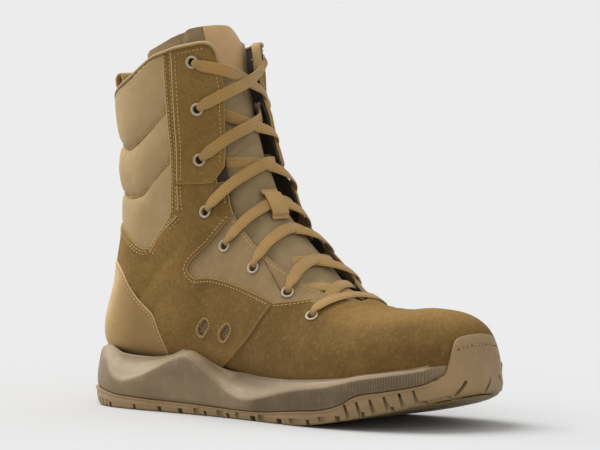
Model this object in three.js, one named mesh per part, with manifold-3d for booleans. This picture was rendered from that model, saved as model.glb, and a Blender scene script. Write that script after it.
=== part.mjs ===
// Work boot for the right foot: a hollow leather and fabric upper over a wedge sole with a rubber bumper.
// Millimetres. +X points to the toe, +Y to the inner side of the foot and +Z up.
import * as THREE from "three";
import { mergeVertices } from "three/addons/utils/BufferGeometryUtils.js";
import Module from "manifold-3d";

const wasm = await Module();
wasm.setup();

// Sizes of the last
const LENGTH = 290;
const BALL_WIDTH = 100;
const INSTEP_HEIGHT = 127;
const SHAFT_HEIGHT = 249;

// Sizes of the upper
const WALL = 2.0;
const QUARTER_STEP = 1.2;
const COUNTER_THICKNESS = 1.2;
const PAD_OUTSIDE = 2.4;
const PAD_INSIDE = 3.2;
const CHANNEL_WIDTH = 8;
const CHANNEL_DEPTH = 2.0;
const CHANNEL_START = 0.2;
const TONGUE_THICKNESS = 4;
const INSOLE_THICKNESS = 4;
const CLEARANCE = 0.3;
const FACET_ROOM = 0.8;
const CUT_OUTSIDE = 8;
const CUT_INSIDE = 5;

// Sizes of the hardware and the lace
const EYELET_RADIUS = 4.3;
const EYELET_HEIGHT = 0.9;
const EYELET_BORE = 2.5;
const EYELET_TUBE = 3.0;
const EYELET_TAIL = 1.0;
const HOLE_RADIUS = 4.0;
const HOLE_SIDES = 6;
const EYELET_SIDES = 8;
const LACE_WIDTH = 7.5;
const LACE_THICKNESS = 1.4;
const LACE_ARCH = 0.6;
const LOOP_WIDTH = 19;
const LOOP_THICKNESS = 1.6;
const LOOP_RISE = 16;
const LOOP_TAIL = 17;
const KEEPER_WIDTH = 13.6;
const KEEPER_RISE = 6.0;
const VENT_LENGTH = 9;
const VENT_WIDTH = 4;

// Sizes of the sole
const HEEL_OVERHANG = 11;
const TOE_OVERHANG = 6;
const SOLE_LENGTH = LENGTH + HEEL_OVERHANG + TOE_OVERHANG;
const SIDE_HEIGHT = 40;
const TOE_SPRING = 21;
const HEEL_BEVEL = 5;
const SOLE_FLOOR = 6;
const RUBBER_WALL = 3;
const BUMPER_THICKNESS = 2.4;
const TREAD_DEPTH = 3.6;
const SIDE_SLOT_DEPTH = 2.3;
const SIDE_SLOT_WIDTH = 3.4;
const SIDE_SLOT_HEIGHT = 4;
const SIDE_SLOT_LEAN = -0.3;

// Sections of the last from the toe to the top of the shaft. Each is a closed curve through a
// bottom or back point and a top or front point. The x columns are shares of LENGTH, the z columns
// heights (below 1 a share of INSTEP_HEIGHT, above 1 the rest of the way to SHAFT_HEIGHT), and the
// lateral, medial and centre columns shares of BALL_WIDTH. Widest says how far up the section it is
// widest, and the round columns are the powers of its lower and upper half.
const SECTION_COLUMNS = ["backX", "backZ", "frontX", "frontZ", "lateral", "medial", "centre", "widest",
  "lowRound", "topRound"];
const SECTIONS = [
  // toe tip, toe front, toe slope, toe dome
  [1.000, 0.340, 1.000, 0.365, 0.010, 0.010, 0.075, 0.50, 2.0, 2.0],
  [0.996, 0.265, 0.994, 0.450, 0.160, 0.160, 0.072, 0.50, 2.2, 2.0],
  [0.981, 0.225, 0.976, 0.520, 0.275, 0.275, 0.062, 0.42, 2.5, 2.1],
  [0.948, 0.200, 0.938, 0.560, 0.370, 0.350, 0.048, 0.38, 2.8, 2.3],
  // toe cap, toe end, ball, vamp
  [0.893, 0.175, 0.878, 0.575, 0.445, 0.415, 0.028, 0.34, 3.0, 2.4],
  [0.815, 0.155, 0.798, 0.562, 0.495, 0.460, 0.012, 0.32, 3.0, 2.3],
  [0.735, 0.140, 0.715, 0.580, 0.510, 0.475, 0.000, 0.32, 3.0, 2.2],
  [0.640, 0.135, 0.625, 0.675, 0.490, 0.455, -0.008, 0.32, 3.0, 2.1],
  // waist, instep, heel seat, heel low
  [0.540, 0.145, 0.560, 0.820, 0.450, 0.415, -0.012, 0.33, 2.8, 2.1],
  [0.430, 0.160, 0.505, 0.965, 0.415, 0.385, -0.010, 0.34, 2.6, 2.1],
  [0.280, 0.185, 0.465, 1.091, 0.390, 0.365, -0.005, 0.36, 2.5, 2.1],
  [0.100, 0.215, 0.440, 1.227, 0.385, 0.365, 0.000, 0.36, 2.4, 2.1],
  // heel turn, heel back, ankle, low shaft
  [-0.006, 0.285, 0.422, 1.346, 0.380, 0.365, 0.000, 0.36, 2.4, 2.1],
  [0.014, 0.560, 0.410, 1.446, 0.370, 0.360, 0.000, 0.38, 2.3, 2.1],
  [0.030, 0.880, 0.402, 1.564, 0.370, 0.368, 0.000, 0.42, 2.2, 2.1],
  [0.032, 1.182, 0.398, 1.682, 0.385, 0.385, 0.000, 0.48, 2.2, 2.1],
  // middle of the shaft, collar, above the tongue
  [0.026, 1.420, 0.396, 1.810, 0.400, 0.400, 0.000, 0.50, 2.2, 2.1],
  [0.018, 1.660, 0.395, 1.980, 0.410, 0.410, 0.000, 0.50, 2.2, 2.1],
  [0.014, 1.900, 0.393, 2.160, 0.415, 0.415, 0.000, 0.50, 2.2, 2.1],
];

// Places on the upper are a station, the section's number counted from the toe, and a turn round the
// section: 0 at the top or front, 0.25 on the outer side, 0.5 underneath or behind, 0.75 inside.
// Eyelets of one flap from the collar down.
const EYELETS = [
  { station: 16.47, turn: 0.165, raised: true },
  { station: 14.95, turn: 0.159, raised: true },
  { station: 13.37, turn: 0.150, raised: true },
  { station: 11.50, turn: 0.148, raised: true },
  { station: 10.25, turn: 0.160, raised: false },
  { station: 9.02, turn: 0.151, raised: false },
  { station: 7.61, turn: 0.126, raised: false },
  { station: 6.63, turn: 0.128, raised: false },
];

// Stations at which the strands cross over the tongue, from the collar down. Each crossing joins
// an eyelet of the row above to one of the row below.
const CROSSINGS = [15.20, 13.35, 11.50, 10.05, 9.00, 7.90, 6.95];
// The keeper sewn on the tongue: station and share of KEEPER_RISE
const KEEPER = [
  [9.45, 0.00], [9.54, 0.25], [9.66, 0.80], [10.03, 1.00], [10.38, 0.80], [10.50, 0.25], [10.62, 0.00],
];

// Edge of the throat: station, then turns from the middle line.
const THROAT = [
  [6.22, 0.018], [6.32, 0.034], [6.55, 0.044], [6.80, 0.051], [7.42, 0.079], [8.05, 0.098], [8.60, 0.112],
  [9.30, 0.120], [10.10, 0.121], [10.70, 0.118], [11.28, 0.110], [11.80, 0.107], [12.02, 0.119],
  [12.20, 0.118], [12.36, 0.103], [13.40, 0.099], [14.24, 0.101], [15.34, 0.102], [16.25, 0.110],
  [16.67, 0.117], [17.30, 0.124], [18.00, 0.132],
];

// Tongue: station, turns from the middle to its edge, and the depth of its face under the last's
// surface at the middle and at the edge, as shares of BALL_WIDTH.
const TONGUE = [
  [6.45, 0.050, 0.036, 0.034], [7.00, 0.085, 0.044, 0.034], [8.00, 0.120, 0.064, 0.034],
  [9.00, 0.138, 0.076, 0.034], [10.00, 0.148, 0.082, 0.034], [11.00, 0.150, 0.086, 0.034],
  [12.00, 0.150, 0.094, 0.036], [13.00, 0.150, 0.108, 0.040], [14.00, 0.152, 0.124, 0.048],
  [15.00, 0.165, 0.145, 0.062], [16.00, 0.190, 0.170, 0.078], [17.00, 0.225, 0.210, 0.090],
  [18.00, 0.255, 0.265, 0.110],
];

// Outlines in the side view: share of LENGTH, then height as in the z columns above.
// Front edge of the padded collar from the rim down to its point, then up to the back.
const PAD_EDGE = [
  [0.231, 2.090], [0.243, 1.540], [0.246, 1.270], [0.243, 0.990], [0.186, 0.822], [0.172, 0.820],
  [0.090, 0.908], [-0.100, 0.990],
];
// Lower edge of the quarter from the throat: round the fabric triangle and down the vamp seam.
const QUARTER_EDGE = [
  [0.450, 1.000], [0.400, 1.000], [0.356, 0.870], [0.302, 0.712], [0.315, 0.690], [0.367, 0.690],
  [0.460, 0.655], [0.560, 0.588], [0.503, 0.425], [0.434, 0.300], [0.369, 0.217], [0.330, 0.000],
];
const COUNTER_EDGE = [
  [-0.100, 0.760], [0.020, 0.755], [0.080, 0.735], [0.106, 0.690], [0.136, 0.606], [0.170, 0.538],
  [0.201, 0.484], [0.212, 0.420], [0.224, 0.330], [0.222, 0.200], [-0.100, 0.200],
];
const RIM = [
  [-0.100, 1.590], [0.010, 1.598], [0.048, 1.615], [0.141, 1.721], [0.207, 1.828], [0.269, 1.877],
  [0.328, 1.908], [0.342, 1.896], [0.352, 1.850], [0.420, 1.840],
];
const TONGUE_RIM = [
  [0.080, 1.700], [0.158, 1.811], [0.235, 1.902], [0.300, 1.980], [0.330, 1.990], [0.420, 1.930],
];
const VENTS = [
  { x: 0.354, height: 0.440, tilt: 50 },
  { x: 0.424, height: 0.424, tilt: 50 },
];
// Where the padded collar starts to swell: stations of its lower edge at its point and at the back,
// the point's turn, and the turns between which it rises beside the strip
const PAD_LOW = { front: 12.2, back: 14.2, ramp: 1.2 };
const PAD_SIDE = { point: 0.225, edge: 0.195, full: 0.290 };
// Sewn channels of the padded collar: turn and station from under the strip to the middle of the back.
const CHANNELS = [
  [[0.190, 15.66], [0.240, 15.40], [0.275, 15.22], [0.330, 15.18], [0.400, 15.55], [0.500, 15.82]],
  [[0.180, 14.12], [0.230, 14.05], [0.262, 13.93], [0.310, 14.12], [0.390, 14.53], [0.500, 14.80]],
];
const CHANNEL_STEPS = 10;

// Outline of the sole: share of SOLE_LENGTH, then half widths outside and inside as shares of
// BALL_WIDTH.
const OUTLINE = [
  [0.000, 0.020, 0.020], [0.010, 0.180, 0.180], [0.040, 0.320, 0.320], [0.095, 0.415, 0.405],
  [0.170, 0.450, 0.430], [0.280, 0.450, 0.415], [0.420, 0.460, 0.400], [0.560, 0.510, 0.440],
  [0.680, 0.560, 0.505], [0.760, 0.565, 0.530], [0.840, 0.520, 0.520], [0.910, 0.420, 0.465],
  [0.960, 0.295, 0.378], [0.988, 0.150, 0.265], [1.000, 0.020, 0.130],
];
// Side of the sole: share of SOLE_LENGTH, then heights as shares of SIDE_HEIGHT of the rubber's
// edge, of the ridge of the bulging plate and of the top edge.
const SIDE = [
  [0.000, 0.300, 0.950, 1.045], [0.050, 0.290, 0.905, 0.990], [0.080, 0.270, 0.800, 0.945],
  [0.107, 0.250, 0.590, 0.900], [0.130, 0.225, 0.490, 0.880], [0.155, 0.215, 0.475, 0.868],
  [0.185, 0.205, 0.520, 0.862], [0.225, 0.190, 0.630, 0.865], [0.270, 0.180, 0.790, 0.925],
  [0.305, 0.175, 0.895, 1.030], [0.334, 0.170, 0.935, 1.035], [0.360, 0.165, 0.870, 0.950],
  [0.388, 0.160, 0.740, 0.815], [0.424, 0.155, 0.570, 0.740], [0.453, 0.150, 0.450, 0.715],
  [0.481, 0.148, 0.380, 0.700], [0.518, 0.150, 0.350, 0.690], [0.563, 0.160, 0.405, 0.688],
  [0.620, 0.200, 0.515, 0.700], [0.680, 0.245, 0.600, 0.732], [0.741, 0.290, 0.665, 0.770],
  [0.789, 0.400, 0.740, 0.810], [0.815, 0.518, 0.790, 0.850], [0.877, 0.622, 0.875, 0.922],
  [0.931, 0.710, 0.950, 0.995], [0.958, 0.780, 1.000, 1.045], [1.000, 0.900, 1.060, 1.100],
];
// Rear and top edge of the toe bumper in the side view: share of SOLE_LENGTH, share of SIDE_HEIGHT.
const BUMPER_EDGE = [
  [0.962, 0.800], [0.976, 0.900], [0.982, 1.120], [0.985, 1.320], [0.989, 1.420], [0.995, 1.465],
  [1.060, 1.500],
];
// Rings of the sole's side from the tread up: how far each stands out from the outline, and where it
// lies between two lines of the side (0 floor, 1 rubber edge, 2 plate ridge, 3 top edge).
const SIDE_RINGS = [
  { line: 0.00, out: -2.2 }, { line: 0.35, out: 0.0 }, { line: 1.00, out: 0.4 }, { line: 1.50, out: 1.0 },
  { line: 2.00, out: -0.3 }, { line: 2.45, out: -2.4 }, { line: 3.00, out: -2.8 },
];
// Cross grooves of the tread: share of SOLE_LENGTH and width.
const TREAD = [
  [0.110, 2.4], [0.186, 2.4], [0.257, 3.2], [0.316, 4.2], [0.388, 2.4], [0.456, 2.8], [0.533, 4.8],
  [0.615, 4.8], [0.700, 2.8], [0.778, 3.6], [0.834, 3.2], [0.891, 3.0], [0.943, 3.0],
];
// Grooves along the tread, which split its bars in two: both ends, and how far they lie to the inside.
const LONG_GROOVES = [
  [0.060, 0.320, -0.01], [0.450, 0.930, 0.01],
];
const LONG_GROOVE_WIDTH = 4;
// Slots that run up the rubber's side in front
const SIDE_SLOTS = [0.806, 0.834, 0.8625, 0.891, 0.918, 0.943];

// Interpolation in short tables
function along(table, key, column) {
  if (key <= table[0][0]) {
    return table[0][column];
  }
  for (let i = 1; i < table.length; i += 1) {
    if (key <= table[i][0]) {
      const part = (key - table[i - 1][0]) / (table[i][0] - table[i - 1][0]);
      return table[i - 1][column] + part * (table[i][column] - table[i - 1][column]);
    }
  }
  return table[table.length - 1][column];
}

// A smooth curve through rows of numbers, at distances given by knots
function splineRow(knots, rows, at) {
  const last = knots.length - 1;
  let i = 0;
  while (i < last - 1 && at > knots[i + 1]) {
    i += 1;
  }
  const slope = (k, c) => (rows[k + 1][c] - rows[k][c]) / (knots[k + 1] - knots[k]);
  const tangent = (k, c) => {
    if (k === 0) {
      return slope(0, c);
    }
    if (k === last) {
      return slope(last - 1, c);
    }
    const before = knots[k] - knots[k - 1];
    const after = knots[k + 1] - knots[k];
    return (slope(k, c) * before + slope(k - 1, c) * after) / (before + after);
  };
  const h = knots[i + 1] - knots[i];
  const t = (at - knots[i]) / h;
  return rows[i].map((value, c) => (2 * t ** 3 - 3 * t ** 2 + 1) * value
    + (t ** 3 - 2 * t ** 2 + t) * h * tangent(i, c)
    + (3 * t ** 2 - 2 * t ** 3) * rows[i + 1][c]
    + (t ** 3 - t ** 2) * h * tangent(i + 1, c));
}

function smooth(from, to, value) {
  const t = Math.min(Math.max((value - from) / (to - from), 0), 1);
  return t * t * (3 - 2 * t);
}

function heightOf(share) {
  if (share <= 1) {
    return share * INSTEP_HEIGHT;
  }
  return INSTEP_HEIGHT + (share - 1) * (SHAFT_HEIGHT - INSTEP_HEIGHT);
}

// Surface of the last
const columnScale = [LENGTH, 0, LENGTH, 0, BALL_WIDTH, BALL_WIDTH, BALL_WIDTH, 1, 1, 1];
const sectionRows = SECTIONS.map((row) => row.map(
  (value, c) => (SECTION_COLUMNS[c].endsWith("Z") ? heightOf(value) : value * columnScale[c]),
));
const sectionKnots = [0];
for (let i = 1; i < sectionRows.length; i += 1) {
  const step = Math.hypot(...[0, 1, 2, 3, 4, 5].map((c) => sectionRows[i][c] - sectionRows[i - 1][c]));
  sectionKnots.push(sectionKnots[i - 1] + step);
}

function sectionAt(station) {
  const i = Math.min(Math.floor(station), sectionRows.length - 2);
  const at = sectionKnots[i] + (station - i) * (sectionKnots[i + 1] - sectionKnots[i]);
  const values = splineRow(sectionKnots, sectionRows, at);
  return Object.fromEntries(SECTION_COLUMNS.map((name, c) => [name, values[c]]));
}

function skin(station, turn) {
  const s = sectionAt(station);
  const angle = 2 * Math.PI * turn;
  const round = Math.cos(angle) > 0 ? s.topRound : s.lowRound;
  const power = (value) => Math.sign(value) * Math.abs(value) ** (2 / round);
  const up = power(Math.cos(angle));
  const side = power(Math.sin(angle));
  const share = up > 0 ? s.widest + (1 - s.widest) * up : s.widest + s.widest * up;
  const half = side > 0 ? s.lateral : s.medial;
  return new THREE.Vector3(
    s.backX + (s.frontX - s.backX) * share,
    s.centre - side * half,
    s.backZ + (s.frontZ - s.backZ) * share,
  );
}

function skinNormal(station, turn) {
  const top = SECTIONS.length - 1;
  const small = 0.02;
  const ahead = skin(Math.min(station + small, top), turn);
  const behind = skin(Math.max(station - small, 0), turn);
  const round = skin(station, turn + small / 4);
  const back = skin(station, turn - small / 4);
  return ahead.sub(behind).cross(round.sub(back)).normalize();
}

function lifted(station, turn, out) {
  return skin(station, turn).addScaledVector(skinNormal(station, turn), out);
}

// Meshes and joins
function meshOf(points, triangles) {
  const geometry = new THREE.BufferGeometry();
  geometry.setAttribute("position", new THREE.Float32BufferAttribute(points.flatMap((p) => p.toArray()), 3));
  geometry.setIndex(triangles.flat());
  return geometry;
}

function signedVolume(points, triangles) {
  return triangles.reduce(
    (sum, [a, b, c]) => sum + points[a].dot(new THREE.Vector3().crossVectors(points[b], points[c])),
    0,
  );
}

function closedMesh(points, triangles) {
  const outward = signedVolume(points, triangles) > 0;
  return meshOf(points, outward ? triangles : triangles.map(([a, b, c]) => [a, c, b]));
}

// Rings of equal length joined in turn; the ends are closed by a fan, or across in strips
function stack(rings, acrossEnds = false) {
  const n = rings[0].length;
  const points = rings.flat();
  const triangles = [];
  for (let i = 0; i + 1 < rings.length; i += 1) {
    for (let j = 0; j < n; j += 1) {
      const [a, b] = [i * n + j, i * n + ((j + 1) % n)];
      triangles.push([a, a + n, b + n], [a, b + n, b]);
    }
  }
  for (const [start, flip] of [[0, false], [(rings.length - 1) * n, true]]) {
    const faces = [];
    if (acrossEnds) {
      for (let j = 0; j + 1 < n / 2; j += 1) {
        const [a, b, c, d] = [j, j + 1, n - 2 - j, n - 1 - j].map((k) => start + k);
        faces.push([a, b, c], [a, c, d]);
      }
    } else {
      const ring = points.slice(start, start + n);
      points.push(ring.reduce((sum, p) => sum.add(p), new THREE.Vector3()).divideScalar(n));
      for (let j = 0; j < n; j += 1) {
        faces.push([points.length - 1, start + j, start + ((j + 1) % n)]);
      }
    }
    triangles.push(...faces.filter(([a, b, c]) => a !== b && b !== c && a !== c)
      .map(([a, b, c]) => (flip ? [a, c, b] : [a, b, c])));
  }
  return closedMesh(points, triangles);
}

// Two grids of points facing each other, closed round their edges
function slab(outer, inner) {
  const rows = outer.length;
  const columns = outer[0].length;
  const points = [...outer.flat(), ...inner.flat()];
  const under = rows * columns;
  const at = (i, j) => i * columns + j;
  const triangles = [];
  for (let i = 0; i + 1 < rows; i += 1) {
    for (let j = 0; j + 1 < columns; j += 1) {
      const [a, b, c, d] = [at(i, j), at(i + 1, j), at(i + 1, j + 1), at(i, j + 1)];
      triangles.push([a, b, c], [a, c, d], [under + a, under + c, under + b], [under + a, under + d, under + c]);
    }
  }
  const edge = (p, q) => triangles.push([q, p, under + p], [q, under + p, under + q]);
  for (let i = 0; i + 1 < rows; i += 1) {
    edge(at(i, 0), at(i + 1, 0));
    edge(at(i + 1, columns - 1), at(i, columns - 1));
  }
  for (let j = 0; j + 1 < columns; j += 1) {
    edge(at(0, j + 1), at(0, j));
    edge(at(rows - 1, j), at(rows - 1, j + 1));
  }
  return closedMesh(points, triangles);
}

function solid(geometry) {
  const bare = geometry.clone();
  bare.deleteAttribute("normal");
  bare.deleteAttribute("uv");
  const merged = mergeVertices(bare);
  return new wasm.Manifold(new wasm.Mesh({
    numProp: 3,
    vertProperties: new Float32Array(merged.attributes.position.array),
    triVerts: new Uint32Array(merged.index.array),
  }));
}

function geometryOf(manifold) {
  const mesh = manifold.getMesh();
  const geometry = new THREE.BufferGeometry();
  geometry.setAttribute("position", new THREE.Float32BufferAttribute(mesh.vertProperties, 3));
  geometry.setIndex(Array.from(mesh.triVerts));
  return geometry;
}

function joined(parts) {
  return parts.reduce((sum, part) => sum.add(part));
}

// A side-view outline in millimetres, run right across the boot
function sidePrism(outline) {
  const across = 4 * BALL_WIDTH;
  const shape = new THREE.Shape(outline.map(([x, z]) => new THREE.Vector2(x, z)));
  const geometry = new THREE.ExtrudeGeometry(shape, { depth: across, bevelEnabled: false });
  return solid(geometry.rotateX(Math.PI / 2).translate(0, across / 2, 0));
}

const onLast = ([x, share]) => [x * LENGTH, heightOf(share)];
const moved = (outline, dx, dz) => outline.map(([x, z]) => [x + dx, z + dz]);

// The last as a closed solid, lifted by a distance that may vary over it
const TOP_STATION = SECTIONS.length - 1;
const HEEL_STATIONS = [11, 12];
const fineTurns = 24;
const coarseTurns = 20;

// Whole stations, halves within the spans given, and quarters round the heel
function stationsWith(spans) {
  const list = [];
  for (let quarter = 0; quarter <= 4 * TOP_STATION; quarter += 1) {
    const station = quarter / 4;
    const within = ([from, to]) => station >= from && station <= to;
    const half = quarter % 2 === 0 && spans.some(within);
    if (quarter % 4 === 0 || half || within(HEEL_STATIONS)) {
      list.push(station);
    }
  }
  return list;
}

const fineStations = stationsWith([[0, 4], [9, 15]]);
const coarseStations = stationsWith([[10, 13]]);

function form(out, stations = fineStations, turns = fineTurns) {
  const distance = typeof out === "function" ? out : () => out;
  const rings = stations.map((station) => Array.from({ length: turns }, (unused, j) => {
    const turn = j / turns;
    return lifted(station, turn, distance(station, turn));
  }));
  return solid(stack(rings));
}

// Turns from low(station) to high(station), between two depths
function patch(rows, columns, low, high, outer, inner) {
  const grid = (depth) => rows.map((station) => Array.from({ length: columns + 1 }, (unused, j) => {
    const turn = low(station) + (high(station) - low(station)) * (j / columns);
    return lifted(station, turn, depth(station, turn));
  }));
  return slab(grid(outer), grid(inner));
}

// A flat band along places that each have a point and a face direction
function band(places, width, thickness) {
  const rings = places.map(({ point, face }, i) => {
    const before = places[Math.max(i - 1, 0)].point;
    const after = places[Math.min(i + 1, places.length - 1)].point;
    const run = after.clone().sub(before).normalize();
    const across = new THREE.Vector3().crossVectors(run, face).normalize();
    const up = new THREE.Vector3().crossVectors(across, run).normalize();
    return [[1, 1], [-1, 1], [-1, -1], [1, -1]].map(([w, t]) => point.clone()
      .addScaledVector(across, w * width / 2)
      .addScaledVector(up, t * thickness / 2));
  });
  return stack(rings);
}

// Upper
const padEdge = PAD_EDGE.map(onLast);
const rim = RIM.map(onLast);
// How much of its swell the padded collar has: none at its lower edge and beside the front strip
function padShare(station, turn) {
  const side = Math.min(turn, 1 - turn);
  const toStrip = Math.min((0.5 - side) / (0.5 - PAD_SIDE.point), 1);
  const low = PAD_LOW.back + (PAD_LOW.front - PAD_LOW.back) * toStrip ** 2;
  return smooth(low, low + PAD_LOW.ramp, station) * smooth(PAD_SIDE.edge, PAD_SIDE.full, side);
}

const outerSkin = (station, turn) => PAD_OUTSIDE * padShare(station, turn);
const innerSkin = (station, turn) => -WALL - PAD_INSIDE * padShare(station, turn);

const quarterOutline = [
  ...QUARTER_EDGE.map(onLast),
  [padEdge.at(-1)[0], 0],
  ...[...padEdge].reverse(),
  [0.45 * LENGTH, padEdge[0][1]],
];
const counterOutline = COUNTER_EDGE.map(onLast);
const counterRoom = moved(counterOutline, CLEARANCE, CLEARANCE);

function throatCutter() {
  const rows = THROAT.map(([station]) => station);
  const half = (station) => along(THROAT, station, 1);
  return solid(patch(rows, 8, (s) => -half(s), half, () => CUT_OUTSIDE, () => -WALL - CUT_INSIDE));
}

function underCutter() {
  const rows = [2.2, 3, 4, 5, 6, 7, 8, 9, 10, 10.6, 11.1];
  const half = (station) => 0.115 - 0.025 * smooth(8, 11, station) - 0.03 * smooth(4, 2, station);
  return solid(patch(rows, 6, (s) => 0.5 - half(s), (s) => 0.5 + half(s), () => CUT_OUTSIDE,
    () => -WALL - CUT_INSIDE));
}

// A groove with sloping sides right round the back of the collar, shallow where it starts
function channelCutter(path) {
  const knots = path.map(([turn]) => turn);
  const half = Array.from({ length: CHANNEL_STEPS + 1 }, (unused, i) => {
    const turn = knots[0] + (i / CHANNEL_STEPS) * (knots.at(-1) - knots[0]);
    return splineRow(knots, path, turn);
  });
  const both = [...half, ...half.slice(0, -1).reverse().map(([turn, station]) => [1 - turn, station])];
  const rings = both.map(([turn, station], i) => {
    const point = lifted(station, turn, outerSkin(station, turn));
    const face = skinNormal(station, turn);
    const deep = CHANNEL_DEPTH * (CHANNEL_START + (1 - CHANNEL_START) * padShare(station, turn));
    const [before, after] = [both[Math.max(i - 1, 0)], both[Math.min(i + 1, both.length - 1)]]
      .map(([t, s]) => skin(s, t));
    const across = after.sub(before).cross(face).normalize();
    return [1, -1, 0].map((sideways) => point.clone()
      .addScaledVector(across, sideways * CHANNEL_WIDTH)
      .addScaledVector(face, sideways === 0 ? -deep : CHANNEL_DEPTH));
  });
  return solid(stack(rings));
}

function peg(station, turn, radius, from, to, sides) {
  const geometry = new THREE.CylinderGeometry(radius, radius, to - from, sides);
  geometry.translate(0, (from + to) / 2, 0);
  return place(geometry, station, turn, 0);
}

// Turns a geometry's +Y to face out of the upper and sets it at a distance over the last
function place(geometry, station, turn, out) {
  const face = skinNormal(station, turn);
  const spin = new THREE.Quaternion().setFromUnitVectors(new THREE.Vector3(0, 1, 0), face);
  const at = lifted(station, turn, out);
  return geometry.applyQuaternion(spin).translate(at.x, at.y, at.z);
}

const bothSides = (turn) => [turn, 1 - turn];

function ventCutter({ x, height, tilt }) {
  const shape = new THREE.Shape();
  const straight = (VENT_LENGTH - VENT_WIDTH) / 2;
  const lean = THREE.MathUtils.degToRad(tilt);
  const centre = onLast([x, height]);
  for (const end of [1, -1]) {
    for (let k = 0; k <= 3; k += 1) {
      const angle = lean + (end > 0 ? -Math.PI / 2 : Math.PI / 2) + (k / 3) * Math.PI;
      const px = centre[0] + end * straight * Math.cos(lean) + (VENT_WIDTH / 2) * Math.cos(angle);
      const pz = centre[1] + end * straight * Math.sin(lean) + (VENT_WIDTH / 2) * Math.sin(angle);
      if (end > 0 && k === 0) {
        shape.moveTo(px, pz);
      } else {
        shape.lineTo(px, pz);
      }
    }
  }
  const across = 4 * BALL_WIDTH;
  const geometry = new THREE.ExtrudeGeometry(shape, { depth: across, bevelEnabled: false });
  return solid(geometry.rotateX(Math.PI / 2).translate(0, across / 2, 0));
}

const overRim = sidePrism([...rim, [rim.at(-1)[0] + LENGTH, rim.at(-1)[1]],
  [rim.at(-1)[0] + LENGTH, 2 * SHAFT_HEIGHT], [rim[0][0], 2 * SHAFT_HEIGHT]]);
const counterZone = sidePrism(counterRoom);
const quarterZone = sidePrism(quarterOutline).subtract(counterZone);
const inner = form(innerSkin, coarseStations, coarseTurns);

function makeUpper() {
  const padded = CHANNELS.reduce((left, path) => left.subtract(channelCutter(path)), form(outerSkin));
  const shell = padded.add(form(QUARTER_STEP).intersect(quarterZone));
  const holes = EYELETS.flatMap(({ station, turn }) => bothSides(turn)
    .map((at) => solid(peg(station, at, HOLE_RADIUS, -WALL - CUT_INSIDE, CUT_OUTSIDE, HOLE_SIDES))));
  const cuts = [inner, throatCutter(), underCutter(), overRim, ...holes, ...VENTS.map(ventCutter)];
  return cuts.reduce((left, cut) => left.subtract(cut), shell);
}

function makeCounter() {
  const over = form(CLEARANCE + COUNTER_THICKNESS).intersect(sidePrism(counterOutline));
  const aboveSole = sidePrism([[-LENGTH, 0], ...soleLine(3, CLEARANCE), [LENGTH * 2, 0]]);
  const under = form((station, turn) => outerSkin(station, turn) + CLEARANCE);
  return over.subtract(under).subtract(aboveSole);
}

function makeTongue() {
  const rows = TONGUE.map(([station]) => station);
  const half = (station) => along(TONGUE, station, 1);
  const depth = (station, turn) => {
    const share = Math.cos((Math.PI / 2) * Math.min(Math.abs(turn) / half(station), 1)) ** 2;
    const middle = along(TONGUE, station, 2);
    const edge = along(TONGUE, station, 3);
    return BALL_WIDTH * (edge + (middle - edge) * share);
  };
  const slice = patch(rows, 8, (s) => -half(s), half, (s, t) => -depth(s, t),
    (s, t) => -depth(s, t) - TONGUE_THICKNESS);
  const top = TONGUE_RIM.map(onLast);
  const above = sidePrism([...top, [top.at(-1)[0] + LENGTH, top.at(-1)[1]],
    [top.at(-1)[0] + LENGTH, 2 * SHAFT_HEIGHT], [top[0][0], 2 * SHAFT_HEIGHT]]);
  return solid(slice).subtract(above);
}

// Insole: its stations, its half width in turns, and how much of that it loses toward heel and toe
const INSOLE_STATIONS = [1.9, 2.5, 3, 4, 5, 6, 7, 8, 9, 10, 10.6, 11, 11.2];
const INSOLE_HALF = 0.15;
const INSOLE_NARROWS = 0.03;

function makeInsole() {
  const narrowed = (station) => smooth(8, 10.5, station) + smooth(3.5, 2, station);
  const half = (station) => INSOLE_HALF - INSOLE_NARROWS * narrowed(station);
  const depth = WALL + CLEARANCE + FACET_ROOM;
  return solid(patch(INSOLE_STATIONS, 6, (s) => 0.5 - half(s), (s) => 0.5 + half(s), () => -depth,
    () => -depth - INSOLE_THICKNESS));
}

// Eyelets and lace
function eyeletShape() {
  const seat = CLEARANCE + FACET_ROOM / 2;
  const foot = -WALL - EYELET_TAIL;
  const profile = [
    [EYELET_BORE, foot], [EYELET_TUBE, foot], [EYELET_TUBE, seat], [EYELET_RADIUS, seat],
    [EYELET_BORE, seat + EYELET_HEIGHT], [EYELET_BORE, foot],
  ];
  return new THREE.LatheGeometry(profile.map(([r, y]) => new THREE.Vector2(r, y)), EYELET_SIDES);
}

const eyeletTop = CLEARANCE + FACET_ROOM / 2 + EYELET_HEIGHT;

function strand(points) {
  const places = points.map(([station, turn, out]) => ({
    point: lifted(station, turn, out),
    face: skinNormal(station, turn),
  }));
  return solid(band(places, LACE_WIDTH, LACE_THICKNESS));
}

// How far the middle of a strand lies over the tongue, for the upper and the lower of two that cross
const strandOver = 1.40 * LACE_THICKNESS;
const strandUnder = 0.65 * LACE_THICKNESS;
// Where a strand passes the edge of a flap, as a share of the way from its eyelet to the crossing
const EDGE_RUN = 0.40;
const EDGE_SHARE = 0.94;
// A tucked end stops inside the flap's edge, at a share of the depth of the tongue there
const TUCK_SHARE = 0.80;
const TUCK_DEPTH = 0.40;
const laceRest = LACE_THICKNESS / 2 + CLEARANCE;

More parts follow.
